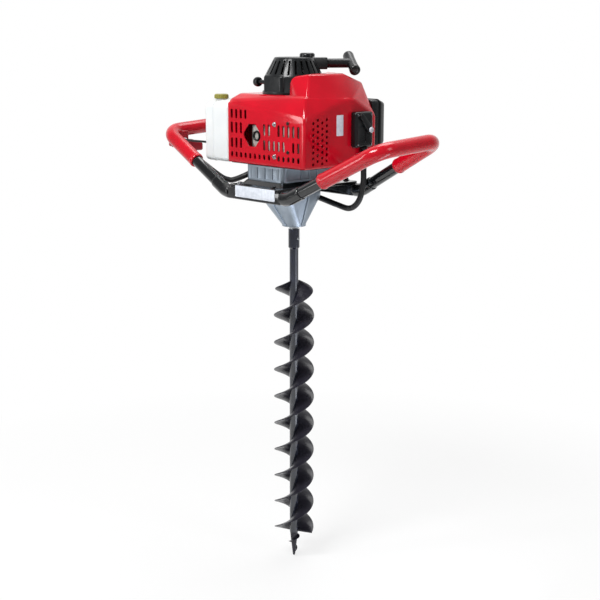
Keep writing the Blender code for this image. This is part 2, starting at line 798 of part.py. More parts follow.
def build_cable(rubber, start):
    """Throttle cable, round the back of the machine from the throttle to the intake box."""
    end_x = COVER_X1 + CABLE_R + FREE
    shares = ((-0.863, -0.413, 0.81), (-0.836, -0.083, 0.762), (-0.792, 0.372, 0.619),
              (-0.645, 0.645, 0.349), (-0.451, 0.76, 0.032), (-0.26, 0.711, -0.143),
              (0.0, 0.628, -0.175), (0.191, 0.603, -0.262), (0.322, 0.595, -0.302),
              (0.388, 0.645, -0.143), (0.404, 0.711, 0.175), (0.402, 0.727, 0.46))
    route = [start, start + Vector((CABLE_LEAD, 0.0, 0.0))]
    route += [Vector((a * LOOP_X, b * BAR_Y, c * LOOP_Z)) for a, b, c in shares]
    route += [Vector((end_x, CABLE_END_Y, INTAKE_Z0 - SEAT - drop * CABLE_R)) for drop in (3.0, 1.5, 0.0)]
    dress(swept("throttle_cable", smooth_route(route, CABLE_STEP), CABLE_R, CABLE_SIDES), rubber)


def build_gear_train(cast, steel, rubber):
    """Gear case, lid, two reduction stages, their shafts, bearings and the output seal."""
    outline = rounded((-CASE_HALF_X, CASE_HALF_X), (-CASE_FRONT, CASE_BACK), CASE_CORNER)
    points = [(x, y, z) for x, y in outline for z in (CASE_Z1, CASE_Z1 - CASE_COLLAR)]
    points += [(x, y, CASE_Z0) for x, y in circle(CASE_NOSE_R, ROUND_MID)]
    case = hull("gear_case", points)
    nose = CASE_NOSE_R + RIB_PROUD
    low_z, knee_z, high_z = CASE_Z0 + RIB_END, CASE_Z1 - CASE_COLLAR, CASE_Z1 - RIB_END
    ribs = []
    for turn, low, high in ((0.0, CASE_HALF_X, CASE_HALF_X), (math.pi / 2, CASE_FRONT, CASE_BACK)):
        low, high = low + RIB_PROUD, high + RIB_PROUD
        shape = [(-nose, low_z), (nose, low_z), (high, knee_z), (high, high_z), (-low, high_z),
                 (-low, knee_z)]
        upright = Matrix.Rotation(turn, 4, "Z") @ TALL
        ribs.append(prism("rib", shape, -RIB_T / 2, RIB_T / 2, (), upright))
    combine(case, ribs, "UNION")
    chamber = bored(MODULE * (GEAR_TEETH / 2 + 1.0), ROUND_MID, FREE)
    small = bored(SMALL_BEARING_R, ROUND_MID)
    big = bored(BIG_BEARING_R, ROUND_MID)
    shift = Matrix.Translation(COUNTER)
    step = BEARING_TOP - BEARING_W - SEAT
    ledge = STAGE1_Z0 - GEAR_CLEAR / 2
    shoulder = LOWER_BEARING_Z0 + BEARING_W + SEAT
    passage = OUTPUT_R + FREE
    roof = CASE_Z1 + FREE
    main_bore = [(0.0, CASE_Z0 - FREE), (big, CASE_Z0 - FREE), (big, shoulder), (passage, shoulder),
                 (passage, step), (big, step), (big, BEARING_TOP), (chamber, BEARING_TOP), (chamber, roof),
                 (0.0, roof)]
    side_bore = [(0.0, step), (small, step), (small, ledge), (chamber, ledge), (chamber, roof), (0.0, roof)]
    cuts = [turned("main_bore", main_bore, ROUND_MID), turned("side_bore", side_bore, ROUND_MID, shift)]
    dress(combine(case, cuts), cast)
    holes = [circle(small, ROUND_MID), circle(bored(COUNTER_R, ROUND_SMALL), ROUND_SMALL, COUNTER.xy)]
    dress(prism("gear_case_lid", outline, LID_Z0, LID_Z1, holes), cast)

    down = -math.pi / 2
    half_tooth = math.pi / GEAR_TEETH
    gear = gear_outline(GEAR_TEETH, (0.0, 0.0), down + half_tooth)
    bore = [circle(bored(OUTPUT_NOSE_R, ROUND_MID), ROUND_MID)]
    dress(prism("output_gear", gear, STAGE2_Z0, STAGE2_Z1, bore), steel, (0.0, 0.0, 0.0))
    gear = gear_outline(GEAR_TEETH, COUNTER.xy, -down + half_tooth)
    bore = [circle(bored(COUNTER_R, ROUND_SMALL), ROUND_SMALL, COUNTER.xy)]
    dress(prism("counter_gear", gear, STAGE1_Z0, STAGE1_Z1, bore), steel, COUNTER)
    shaft = rod("countershaft", COUNTER_R, BEARING_TOP - BEARING_W, LID_Z1 - SEAT, ROUND_SMALL, shift)
    teeth = gear_outline(PINION_TEETH, COUNTER.xy, -down)
    dress(combine(shaft, [prism("teeth", teeth, STAGE2_Z0, STAGE2_Z1)], "UNION"), steel, COUNTER)
    shaft = rod("input_pinion", PINION_SHAFT_R, STAGE1_Z0 + SEAT, DRUM_Z0 + DRUM_WALL, ROUND_SMALL)
    teeth = gear_outline(PINION_TEETH, (0.0, 0.0), down)
    dress(combine(shaft, [prism("teeth", teeth, STAGE1_Z0, STAGE1_Z1)], "UNION"), steel, (0.0, 0.0, 0.0))

    spigot_end = BIT_TOP - SPIGOT_LENGTH
    profile = [(0.0, spigot_end), (SPIGOT_R, spigot_end), (SPIGOT_R, BIT_TOP + FREE),
               (OUTPUT_R, BIT_TOP + FREE), (OUTPUT_R, BEARING_TOP + SEAT),
               (OUTPUT_NOSE_R, BEARING_TOP + SEAT), (OUTPUT_NOSE_R, STAGE2_Z1), (0.0, STAGE2_Z1)]
    shaft = turned("output_shaft", profile, ROUND_MID)
    pin_hole = rod("pin_hole", bored(BIT_PIN_R, ROUND_SMALL), -SOCKET_R, SOCKET_R, ROUND_SMALL,
                   along((1, 0, 0), (0, 0, BIT_PIN_Z)))
    dress(combine(shaft, [pin_hole]), steel, (0.0, 0.0, 0.0))

    low = BEARING_TOP - BEARING_W
    high = LOWER_BEARING_Z0 + BEARING_W
    bore = bored(COUNTER_R, ROUND_MID)
    dress(ring("counter_bearing", bore, SMALL_BEARING_R, low, BEARING_TOP, ROUND_MID, shift), steel)
    bore = bored(PINION_SHAFT_R, ROUND_MID)
    dress(ring("pinion_bearing", bore, SMALL_BEARING_R, LID_Z0, LID_Z1, ROUND_MID), steel)
    bore = bored(OUTPUT_R, ROUND_MID)
    dress(ring("output_bearing_upper", bore, BIG_BEARING_R, low, BEARING_TOP, ROUND_MID), steel)
    dress(ring("output_bearing_lower", bore, BIG_BEARING_R, LOWER_BEARING_Z0, high, ROUND_MID), steel)
    dress(ring("oil_seal", bore, BIG_BEARING_R, SEAL_Z0, SEAL_Z1, ROUND_MID), rubber)


def build_clutch(cast, steel):
    """Clutch housing, drum on the input pinion and the rotor with its two shoes."""
    outline = rounded((-HOUSING_HALF_X, HOUSING_HALF_X), (-HOUSING_FRONT, HOUSING_BACK), HOUSING_CORNER)
    housing = prism("clutch_housing", outline, HOUSING_Z0, HOUSING_Z1)
    chamber = rod("chamber", bored(DRUM_R, ROUND_BIG, FREE), HOUSING_Z0 + HOUSING_FLOOR, HOUSING_Z1 + FREE,
                  ROUND_BIG)
    passage = rod("passage", PINION_SHAFT_R + FREE, HOUSING_Z0 - FREE, HOUSING_Z1, ROUND_MID)
    dress(combine(housing, [chamber, passage]), cast)
    inner = DRUM_R - DRUM_WALL
    hub = bored(PINION_SHAFT_R, ROUND_MID)
    profile = [(hub, DRUM_Z0), (DRUM_R, DRUM_Z0), (DRUM_R, DRUM_Z0 + DRUM_H), (inner, DRUM_Z0 + DRUM_H),
               (inner, DRUM_Z0 + DRUM_WALL), (hub, DRUM_Z0 + DRUM_WALL)]
    dress(turned("clutch_drum", profile, ROUND_MID), steel, (0.0, 0.0, 0.0))
    shoe = inner * math.cos(math.pi / ROUND_MID) - SHOE_GAP
    outline = []
    for middle in (0.0, math.pi):
        arc = [middle + SHOE_SWEEP * (2.0 * k / SHOE_STEPS - 1.0) for k in range(SHOE_STEPS + 1)]
        outline += [(shoe * math.cos(a), shoe * math.sin(a)) for a in arc]
        for a in (middle + SHOE_SWEEP, middle + math.pi - SHOE_SWEEP):
            outline.append((SHOE_HUB * shoe * math.cos(a), SHOE_HUB * shoe * math.sin(a)))
    bore = [circle(bored(CRANK_R, ROUND_MID), ROUND_MID)]
    rotor = prism("clutch_rotor", outline, SHOE_Z0, SHOE_Z0 + SHOE_H, bore)
    dress(rotor, steel, (0.0, 0.0, 0.0))


def build_engine(cast, steel, black, silver, ceramic):
    """Base plate, crankcase, crankshaft, flywheel, cylinder, plug and silencer."""
    inset = COVER_WALL + SEAT
    outline = rounded((COVER_X0 + inset, COVER_X1 - inset), (-COVER_FRONT + inset, COVER_BACK - inset),
                      COVER_ROUND, 1)
    dress(prism("engine_base", outline, BASE_Z0, BASE_Z1, [circle(CRANK_R + FREE, ROUND_MID)]), black)

    crankcase = rod("crankcase", CRANKCASE_R, CRANKCASE_Z0, CRANKCASE_Z1, ROUND_BIG)
    seat = box("seat", (CRANKCASE_R - CRANKCASE_FLAT, CRANKCASE_R + FREE), (-CRANKCASE_R, CRANKCASE_R),
               (CRANKCASE_Z0 - FREE, CRANKCASE_Z1 + FREE))
    bore = rod("bore", bored(CRANK_R, ROUND_MID, RUN), CRANKCASE_Z0 - FREE, CRANKCASE_Z1 + FREE, ROUND_MID)
    dress(combine(crankcase, [seat, bore]), cast)
    dress(rod("crankshaft", CRANK_R, SHOE_Z0, CUP_Z0 + CUP_WALL, ROUND_MID), steel, (0.0, 0.0, 0.0))
    hub = bored(CRANK_R, ROUND_MID)
    disc = ring("flywheel_fan", hub, FLYWHEEL_R, FLYWHEEL_Z0, FLYWHEEL_Z0 + FLYWHEEL_T, ROUND_MID)
    vanes = []
    for k in range(VANE_COUNT):
        end = FLYWHEEL_R - VANE_INSET
        outline = [(VANE_R0, -VANE_T / 2), (end, -VANE_T / 2), (end, VANE_T / 2), (VANE_R0, VANE_T / 2)]
        turn = Matrix.Rotation(2.0 * math.pi * k / VANE_COUNT, 4, "Z")
        vanes.append(prism("vane", outline, FLYWHEEL_Z0 + FLYWHEEL_T / 2, VANE_Z1, (), turn))
    dress(combine(disc, vanes, "UNION"), cast, (0.0, 0.0, 0.0))
    inner = CUP_R - CUP_WALL
    profile = [(hub, CUP_Z0), (CUP_R, CUP_Z0), (CUP_R, CUP_Z0 + CUP_H), (inner, CUP_Z0 + CUP_H),
               (inner, CUP_Z0 + CUP_WALL), (hub, CUP_Z0 + CUP_WALL)]
    dress(turned("starter_cup", profile, ROUND_MID), steel, (0.0, 0.0, 0.0))

    axis = along((1, 0, 0), (0.0, 0.0, BORE_Z))
    profile = [(0.0, CYLINDER_X0), (CYLINDER_R, CYLINDER_X0)]
    for k in range(FIN_COUNT):
        x = CYLINDER_X0 + CYLINDER_SKIRT + k * FIN_PITCH
        profile += [(CYLINDER_R, x), (FIN_R, x), (FIN_R, x + FIN_T), (CYLINDER_R, x + FIN_T)]
    head_end = HEAD_X0 + HEAD_T
    profile += [(CYLINDER_R, HEAD_X0), (HEAD_R, HEAD_X0), (HEAD_R, head_end), (0.0, head_end)]
    dress(turned("cylinder", profile, CYLINDER_SIDES, axis), cast)
    hex_end = PLUG_X0 + PLUG_HEX
    profile = [(0.0, PLUG_X0), (PLUG_R, PLUG_X0), (PLUG_R, hex_end), (PLUG_R * 0.7, hex_end),
               (PLUG_R * 0.6, PLUG_X1), (0.0, PLUG_X1)]
    dress(turned("spark_plug", profile, ROUND_SMALL, axis), ceramic)
    tip = PLUG_X0 + PLUG_CAP_START
    cap = rod("spark_plug_cap", PLUG_CAP_R, tip, PLUG_X1 + PLUG_CAP_OVER, ROUND_SMALL, axis)
    arm = rod("arm", PLUG_R, -FREE, PLUG_ARM, ROUND_SMALL, Matrix.Translation((PLUG_X1, 0.0, BORE_Z)))
    combine(cap, [arm], "UNION")
    socket = rod("socket", bored(PLUG_R, ROUND_SMALL), tip - FREE, PLUG_X1 + SEAT, ROUND_SMALL, axis)
    dress(combine(cap, [socket]), black)

    back = -CRANKCASE_R - SEAT
    front = back - SILENCER_DEPTH
    corners = [(x, y, z) for x in (SILENCER_X0, SILENCER_X1) for y in (front, back)
               for z in (SILENCER_Z0, SILENCER_Z1)]
    dress(hull("silencer", corners, SILENCER_ROUND), silver)
    profile = [(OUTLET_R - OUTLET_WALL, SEAT), (OUTLET_R, SEAT), (OUTLET_R, OUTLET_LENGTH),
               (OUTLET_R - OUTLET_WALL, OUTLET_LENGTH)]
    outlet = turned("exhaust_outlet", profile, ROUND_SMALL, along((0, -1, 0), (OUTLET_X, front, OUTLET_Z)))
    dress(outlet, black)


def cover_body(wall):
    """Outer body of the engine cover, or its hollow when a wall is given."""
    x0, x1 = COVER_X0 + wall, COVER_X1 - wall
    front, back = -COVER_FRONT + wall, COVER_BACK - wall
    low = BASE_Z0 - 2 * COVER_ROUND
    shelf, hump, hump_back = SHELF_Z - wall, HUMP_Z - wall, HUMP_BACK_Z - wall
    crease = [(x0, front, shelf - FALL_FRONT_LEFT), (FOLD_X, front, shelf - FALL_FRONT_FOLD),
              (x1, front, shelf - FALL_FRONT_RIGHT), (x1, FOLD_Y, shelf - FALL_SIDE_FOLD),
              (x1, SIDE_TOP_Y, shelf - FALL_SIDE_TOP), (x1, back, shelf - FALL_BACK_RIGHT),
              (x0, back, shelf - FALL_BACK_LEFT)]
    points = [(x, y, low) for x in (x0, x1) for y in (front, back)] + crease
    points += [(x, y, shelf) for x in (x0 + SHELF_INSET, x1 - SHELF_INSET)
               for y in (front + SHELF_INSET, back - SHELF_INSET)]
    round_edge = COVER_ROUND - wall
    steps = 1 if wall else 2
    body = hull("engine_cover", points, round_edge, steps)
    left = HUMP_X + wall
    rear = back - HUMP_REAR
    rise = [(left, front + HUMP_FRONT_LEFT, hump - HUMP_BROW),
            (x1 - HUMP_SLANT_FRONT, front + HUMP_FRONT_RIGHT, hump), (x1 - HUMP_SLANT, HUMP_RIDGE_Y, hump),
            (left, HUMP_RIDGE_Y, hump + HUMP_CREST), (left, rear, hump_back),
            (x1 - HUMP_SLANT_BACK, rear, hump_back)]
    edge, under = x1 - HUMP_INSET, shelf - FREE
    foot = [(left, front + HUMP_FRONT_FOOT, shelf - HUMP_SINK),
            (edge, front + FREE, under - FALL_FRONT_RIGHT),
            (edge, FOLD_Y, under - FALL_SIDE_FOLD), (edge, SIDE_TOP_Y, under - FALL_SIDE_TOP),
            (edge, back - FREE, under - FALL_BACK_RIGHT), (left, back - FREE, under - FALL_BACK_LEFT)]
    bump = hull("hump", rise + foot, round_edge, steps)
    well = rod("well", WELL_R + wall, shelf, hump + WELL_OVER, ROUND_BIG)
    combine(bump, [well])
    return combine(body, [bump], "UNION")


def build_cover(red):
    """Vented engine cover: a shell with a well for the starter, slots, a silencer window and vent holes."""
    cover = cover_body(0.0)
    cuts = [cover_body(COVER_WALL)]
    far = COVER_BACK + COVER_X1
    cuts.append(box("below", (-far, far), (-far, far), (BASE_Z0 - 3 * COVER_ROUND, BASE_Z0)))
    cuts.append(rod("air", AIR_HOLE_R, SHELF_Z - AIR_HOLE_DEPTH, SHELF_Z + AIR_HOLE_DEPTH, ROUND_BIG))
    depth = (-COVER_FRONT - FREE, -COVER_FRONT + COVER_WALL + FREE)
    for column in range(SLOT_COLUMNS):
        x = SLOT_X0 + column * SLOT_PITCH
        for row, (z, height) in enumerate(SLOT_ROWS):
            near_x = abs(x - HEX_X) < HEX_HALF_W + SLOT_W
            near_z = abs(z - HEX_Z) < HEX_HALF_H + HEX_MARGIN
            if (near_x and near_z) or (row == 0 and x > TOP_ROW_X1):
                continue
            rise = (z - height / 2, z + height / 2)
            cuts.append(box("slot", (x - SLOT_W / 2, x + SLOT_W / 2), depth, rise))
    corners = [(-HEX_HALF_W, 0.0), (-HEX_FLAT, -HEX_HALF_H), (HEX_FLAT, -HEX_HALF_H)]
    window = [(HEX_X + turn * dx, HEX_Z + turn * dz) for turn in (1, -1) for dx, dz in corners]
    cuts.append(prism("window", window, -depth[1], -depth[0], (), TALL))
    through = (COVER_X1 - COVER_WALL - FREE, COVER_X1 + FREE)
    for column in range(VENT_COLUMNS):
        for row in range(VENT_ROWS):
            y = VENT_Y0 + column * VENT_PITCH_Y
            z = VENT_Z0 + (row + 0.5 * (column % 2)) * VENT_PITCH_Z
            axis = along((1, 0, 0), (0.0, y, z))
            cuts.append(rod("vent", VENT_R, through[0], through[1], VENT_SIDES, axis))
    cuts.append(box("intake", (INTAKE_X0 - FREE, through[1]), (INTAKE_Y0 - SEAT, INTAKE_Y1 + SEAT),
                    (INTAKE_Z0 - SEAT, INTAKE_Z1 + SEAT)))
    dress(combine(cover, cuts), red)


def build_intake(black, cast, foam, steel):
    """Inlet manifold, carburettor, intake box, choke lever and air cleaner."""
    carb_x, carb_z = (CARB_X - CARB_HALF, CARB_X + CARB_HALF), (BORE_Z - CARB_HALF, BORE_Z + CARB_HALF)
    manifold = box("inlet_manifold", (carb_x[0] + FREE, carb_x[1]), (FIN_R + SEAT, CARB_Y0 - SEAT), carb_z)
    dress(manifold, black)
    corners = [(x, y, z) for x in carb_x for y in (CARB_Y0, CARB_Y0 + CARB_DEPTH) for z in carb_z]
    carb = hull("carburettor", corners, CARB_EDGE, 1)
    throat_axis = along((0, 1, 0), (CARB_X, 0.0, BORE_Z))
    bore = rod("bore", CARB_BORE_R, CARB_Y0 - FREE, CARB_Y0 + CARB_DEPTH + FREE, ROUND_SMALL, throat_axis)
    dress(combine(carb, [bore]), cast)
    arm_at = Vector((CARB_X, CARB_Y0 + CARB_DEPTH / 2, BORE_Z + CARB_HALF + SEAT))
    outline = [(-ARM_HUB, -ARM_HUB), (ARM_LENGTH, -ARM_TIP), (ARM_LENGTH, ARM_TIP), (-ARM_HUB, ARM_HUB)]
    dress(prism("throttle_arm", outline, 0.0, ARM_T, (), Matrix.Translation(arm_at)), steel, arm_at)

    corners = [(x, y, z) for x in (INTAKE_X0, INTAKE_X1) for y in (INTAKE_Y0, INTAKE_Y1)
               for z in (INTAKE_Z0, INTAKE_Z1)]
    dress(hull("intake_box", corners, INTAKE_ROUND), black)
    pivot = Vector((INTAKE_X1 + SEAT, CHOKE_Y, CHOKE_Z))
    reach = Vector((0.0, math.cos(CHOKE_ANGLE), math.sin(CHOKE_ANGLE))) * CHOKE_ARM
    shape = []
    for centre, radius in ((pivot, CHOKE_HUB_R), (pivot + reach, CHOKE_END_R)):
        for y, z in circle(radius, CHOKE_SIDES):
            shape += [centre + Vector((dx, y, z)) for dx in (0.0, CHOKE_T)]
    dress(hull("choke_lever", shape), black, pivot)

    x, z = (CLEANER_X0, CLEANER_X1), (CLEANER_Z0, CLEANER_Z1)
    wall = CLEANER_WALL
    case = prism("air_cleaner_case", rounded(x, z, CLEANER_ROUND), -CLEANER_Y1, -CLEANER_Y0, (), TALL)
    pocket = rounded((x[0] + wall, x[1] - wall), (z[0] + wall, z[1] - wall), CLEANER_ROUND - wall)
    hollow = prism("hollow", pocket, -CLEANER_Y1 - FREE, -CLEANER_Y0 - wall, (), TALL)
    throat = rod("throat", CARB_BORE_R, CLEANER_Y0 - FREE, CLEANER_Y1, ROUND_SMALL, throat_axis)
    dress(combine(case, [hollow, throat]), black)
    gap = wall + SEAT
    core = rounded((x[0] + gap, x[1] - gap), (z[0] + gap, z[1] - gap), CLEANER_ROUND - gap)
    screw_at = ((x[0] + x[1]) / 2, 0.0, (z[0] + z[1]) / 2)
    screw_axis = along((0, 1, 0), screw_at)
    clear = bored(SCREW_SPINDLE_R, ROUND_SMALL, RUN)
    hole = [circle(clear, ROUND_SMALL, (screw_at[0], screw_at[2]))]
    dress(prism("filter_element", core, -CLEANER_Y1, -CLEANER_Y0 - wall - FILTER_BACK, hole, TALL), foam)
    lid_y0 = CLEANER_Y1 + SEAT
    lid_y1 = lid_y0 + CLEANER_COVER_D
    draft = CLEANER_DRAFT
    points = [(px, lid_y0, pz) for px in x for pz in z]
    points += [(px, lid_y1, pz) for px in (x[0] + draft, x[1] - draft)
               for pz in (z[0] + draft, z[1] - draft)]
    lid = hull("air_cleaner_cover", points, CLEANER_EDGE)
    spindle_hole = rod("hole", clear, lid_y0 - FREE, lid_y1 + FREE, ROUND_SMALL, screw_axis)
    dress(combine(lid, [spindle_hole]), black)
    start = CLEANER_Y0 + wall + SEAT
    knob = lid_y1 + SEAT
    profile = [(0.0, start), (SCREW_SPINDLE_R, start), (SCREW_SPINDLE_R, knob), (SCREW_KNOB_R, knob),
               (SCREW_KNOB_R * 0.9, knob + SCREW_KNOB_H), (0.0, knob + SCREW_KNOB_H)]
    dress(turned("air_cleaner_screw", profile, ROUND_SMALL, screw_axis), steel, screw_at)


def build_tank(white, olive):
    """Fuel tank beside the cover, with its filler neck and screw cap."""
    x1 = COVER_X0 - SEAT
    x0 = x1 - TANK_WIDTH
    points = [(x, y, z) for x in (x0, x1) for y in (-TANK_FRONT, TANK_BACK)
              for z in (TANK_Z0, TANK_Z1 - TANK_CROWN)]
    points += [(x, y, TANK_Z1) for x in (x0 + TANK_CROWN_IN, x1)
               for y in (-TANK_FRONT + TANK_CROWN_IN, TANK_BACK - TANK_CROWN_BACK)]
    tank = hull("fuel_tank", points, TANK_ROUND, 3)
    at = Matrix.Translation((NECK_X, NECK_Y, 0.0))
    neck = rod("neck", NECK_R, TANK_Z1 - NECK_ROOT, TANK_Z1 + NECK_H, ROUND_MID, at)
    dress(combine(tank, [neck], "UNION"), white)
    inner = bored(NECK_R, ROUND_MID)
    outer = inner + CAP_WALL
    low, roof, top = TANK_Z1 + FREE, TANK_Z1 + NECK_H + SEAT, TANK_Z1 + SEAT + CAP_H
    profile = [(0.0, top), (outer - CAP_EDGE, top), (outer, top - CAP_EDGE), (outer, low), (inner, low),
               (inner, roof), (0.0, roof)]
    dress(turned("fuel_cap", profile, ROUND_MID, at), olive, (NECK_X, NECK_Y, TANK_Z1))


def starter_radius(z):
    """Outer radius of the starter housing at a height."""
    share = max(0.0, (z - STARTER_KNEE) / (STARTER_TOP_Z - STARTER_KNEE))
    return STARTER_R + (STARTER_TOP_R - STARTER_R) * share


def build_starter_housing(black):
    """Louvred starter housing with its rope guide, coil block and centre post."""
    z0, knee, top, wall = STARTER_Z0, STARTER_KNEE, STARTER_TOP_Z, STARTER_WALL
    post_z = PULLEY_Z0 - FREE
    profile = [(0.0, top), (STARTER_TOP_R - STARTER_EDGE, top), (STARTER_TOP_R, top - STARTER_EDGE / 2),
               (STARTER_R, knee), (STARTER_R, z0 + FLANGE_T), (FLANGE_R, z0 + FLANGE_T), (FLANGE_R, z0),
               (STARTER_R - wall, z0), (STARTER_R - wall, knee - wall / 2),
               (STARTER_TOP_R - wall, top - wall), (POST_R, top - wall), (POST_R, post_z), (0.0, post_z)]
    housing = turned("starter_housing", profile, ROUND_BIG)
    axis = along(PULL, (0.0, 0.0, PULL_Z))
    outline = rounded((-GUIDE_HALF_H, GUIDE_HALF_H), (-GUIDE_HALF_W, GUIDE_HALF_W), GUIDE_ROUND, 2)
    guide = prism("guide", outline, PULLEY_R + FREE, GUIDE_R1, (), axis)
    block_z = z0 + BLOCK_H
    corners = [(x, y, z) for x in (BLOCK_X0, BLOCK_X1) for y in (BLOCK_Y0, BLOCK_Y1)
               for z in (z0 - BLOCK_ROUND, block_z)]
    block = hull("block", corners, BLOCK_ROUND)
    combine(block, [box("below", (-FLANGE_R, FLANGE_R), (-FLANGE_R, 0.0), (z0 - 2 * BLOCK_ROUND, z0))])
    combine(housing, [guide, block], "UNION")
    inner, clear_z = STARTER_R - wall - SEAT, block_z + FREE
    inside = [(0.0, z0 - FREE), (inner, z0 - FREE), (inner, knee - wall),
              (starter_radius(clear_z) - wall - FREE, clear_z), (0.0, clear_z)]
    cuts = [turned("inside", inside, ROUND_BIG)]
    cuts.append(rod("rope_way", ROPE_R + ROPE_GAP, PULLEY_R / 2, GUIDE_R1 + FREE, ROUND_SMALL, axis))
    low, high = knee + LOUVRE_LOW, top - LOUVRE_HIGH
    near, far = (starter_radius((low + high) / 2) + side * LOUVRE_REACH for side in (-1, 1))
    for k in range(LOUVRE_COUNT):
        a = PULL_ANGLE + 2.0 * math.pi * (k + 0.5) / LOUVRE_COUNT
        if abs(math.remainder(a - PULL_ANGLE, 2.0 * math.pi)) < LOUVRE_FREE:
            continue
        outline = [(near, -LOUVRE_W / 2), (far, -LOUVRE_W / 2), (far, LOUVRE_W / 2), (near, LOUVRE_W / 2)]
        cuts.append(prism("louvre", outline, low, high, (), Matrix.Rotation(a, 4, "Z")))
    way = along((-1, 0, 0), (BLOCK_X0, BUTTON_Y, z0 + BUTTON_RISE))
    deep = BUTTON_ROOT + BUTTON_TRAVEL + FREE
    cuts.append(rod("button_way", bored(BUTTON_STEM_R, ROUND_SMALL, RUN), -deep, BUTTON_NECK - BUTTON_TRAVEL,
                    ROUND_SMALL, way))
    dress(combine(housing, cuts), black)


def build_starter(black, steel, rope):
    """Recoil starter: housing, stop button, cap, pulley, spring, rope and T-grip."""
    build_starter_housing(black)
    top = STARTER_TOP_Z
    button_at = (0.0, BUTTON_Y, STARTER_Z0 + BUTTON_RISE)
    knob = -BLOCK_X0 + BUTTON_NECK
    stem = -BLOCK_X0 - BUTTON_ROOT
    profile = [(0.0, stem), (BUTTON_STEM_R, stem), (BUTTON_STEM_R, knob), (BUTTON_R * 0.8, knob),
               (BUTTON_R, knob + BUTTON_H * 0.3), (BUTTON_R * 0.85, knob + BUTTON_H * 0.8),
               (BUTTON_R * 0.5, knob + BUTTON_H), (0.0, knob + BUTTON_H)]
    dress(turned("stop_button", profile, ROUND_SMALL, along((-1, 0, 0), button_at)), black, button_at)

    cap_at = Matrix.Translation((TOP_CAP_X, TOP_CAP_Y, 0.0))
    profile = [(0.0, top + SEAT), (TOP_CAP_R, top + SEAT), (TOP_CAP_R, top + TOP_CAP_H - TOP_CAP_EDGE),
               (TOP_CAP_R - TOP_CAP_EDGE, top + TOP_CAP_H), (0.0, top + TOP_CAP_H)]
    dress(turned("starter_top_cap", profile, ROUND_MID, cap_at), black)
    bore = bored(POST_R, ROUND_MID, RUN)
    z0, z1, deep = PULLEY_Z0, PULLEY_Z0 + PULLEY_H, PULLEY_R - PULLEY_GROOVE
    hub_z = CUP_Z0 + CUP_WALL + FREE
    profile = [(bore, hub_z), (HUB_R, hub_z), (HUB_R, z0), (PULLEY_R, z0), (PULLEY_R, z0 + PULLEY_RIM),
               (deep, z0 + PULLEY_GROOVE), (deep, z1 - PULLEY_GROOVE), (PULLEY_R, z1 - PULLEY_RIM),
               (PULLEY_R, z1), (bore, z1)]
    dress(turned("starter_pulley", profile, ROUND_MID), black, (0.0, 0.0, PULLEY_Z0))
    spiral = []
    steps = ROUND_SMALL * SPRING_TURNS
    spring_z0 = PULLEY_Z0 + PULLEY_H + SEAT
    r0, r1 = POST_R + FREE, starter_radius(spring_z0 + SPRING_H) - STARTER_WALL - 2 * FREE
    for edge in (0.0, SPRING_BAND):
        band = []
        for k in range(steps + 1):
            a = 2.0 * math.pi * SPRING_TURNS * k / steps
            r = r0 + (r1 - r0) * k / steps - edge
            band.append((r * math.cos(a), r * math.sin(a)))
        spiral += band if edge == 0.0 else band[::-1]
    dress(prism("recoil_spring", spiral, spring_z0, spring_z0 + SPRING_H), steel)

    grip_start = GUIDE_R1 + SEAT
    axis = along(PULL, (0.0, 0.0, PULL_Z))
    cross_at = grip_start + STEM_LENGTH + CROSS_R
    grip = rod("starter_grip", STEM_R, grip_start, cross_at, ROUND_MID, axis)
    across = Vector((PULL.y, -PULL.x, 0.0)) * math.cos(CROSS_TILT) - Vector((0.0, 0.0, math.sin(CROSS_TILT)))
    half = CROSS_LENGTH / 2
    profile = [(0.0, -half), (CROSS_END_R, -half), (CROSS_FLARE, -half + CROSS_EDGE), (CROSS_R, -half * 0.4),
               (CROSS_R, half * 0.4), (CROSS_FLARE, half - CROSS_EDGE), (CROSS_END_R, half), (0.0, half)]
    cross = turned("cross", profile, ROUND_MID, along(across, PULL * cross_at + Vector((0.0, 0.0, PULL_Z))))
    combine(grip, [cross], "UNION")
    rope_end = grip_start + STEM_LENGTH / 2
    rope_hole = rod("rope_hole", bored(ROPE_R, ROUND_SMALL), grip_start - FREE, rope_end, ROUND_SMALL, axis)
    pivot = PULL * grip_start + Vector((0.0, 0.0, PULL_Z))
    dress(combine(grip, [rope_hole]), black, pivot)
    line = rod("starter_rope", ROPE_R, PULLEY_R + RUN, rope_end - SEAT, ROUND_SMALL, axis)
    dress(line, rope, pivot)


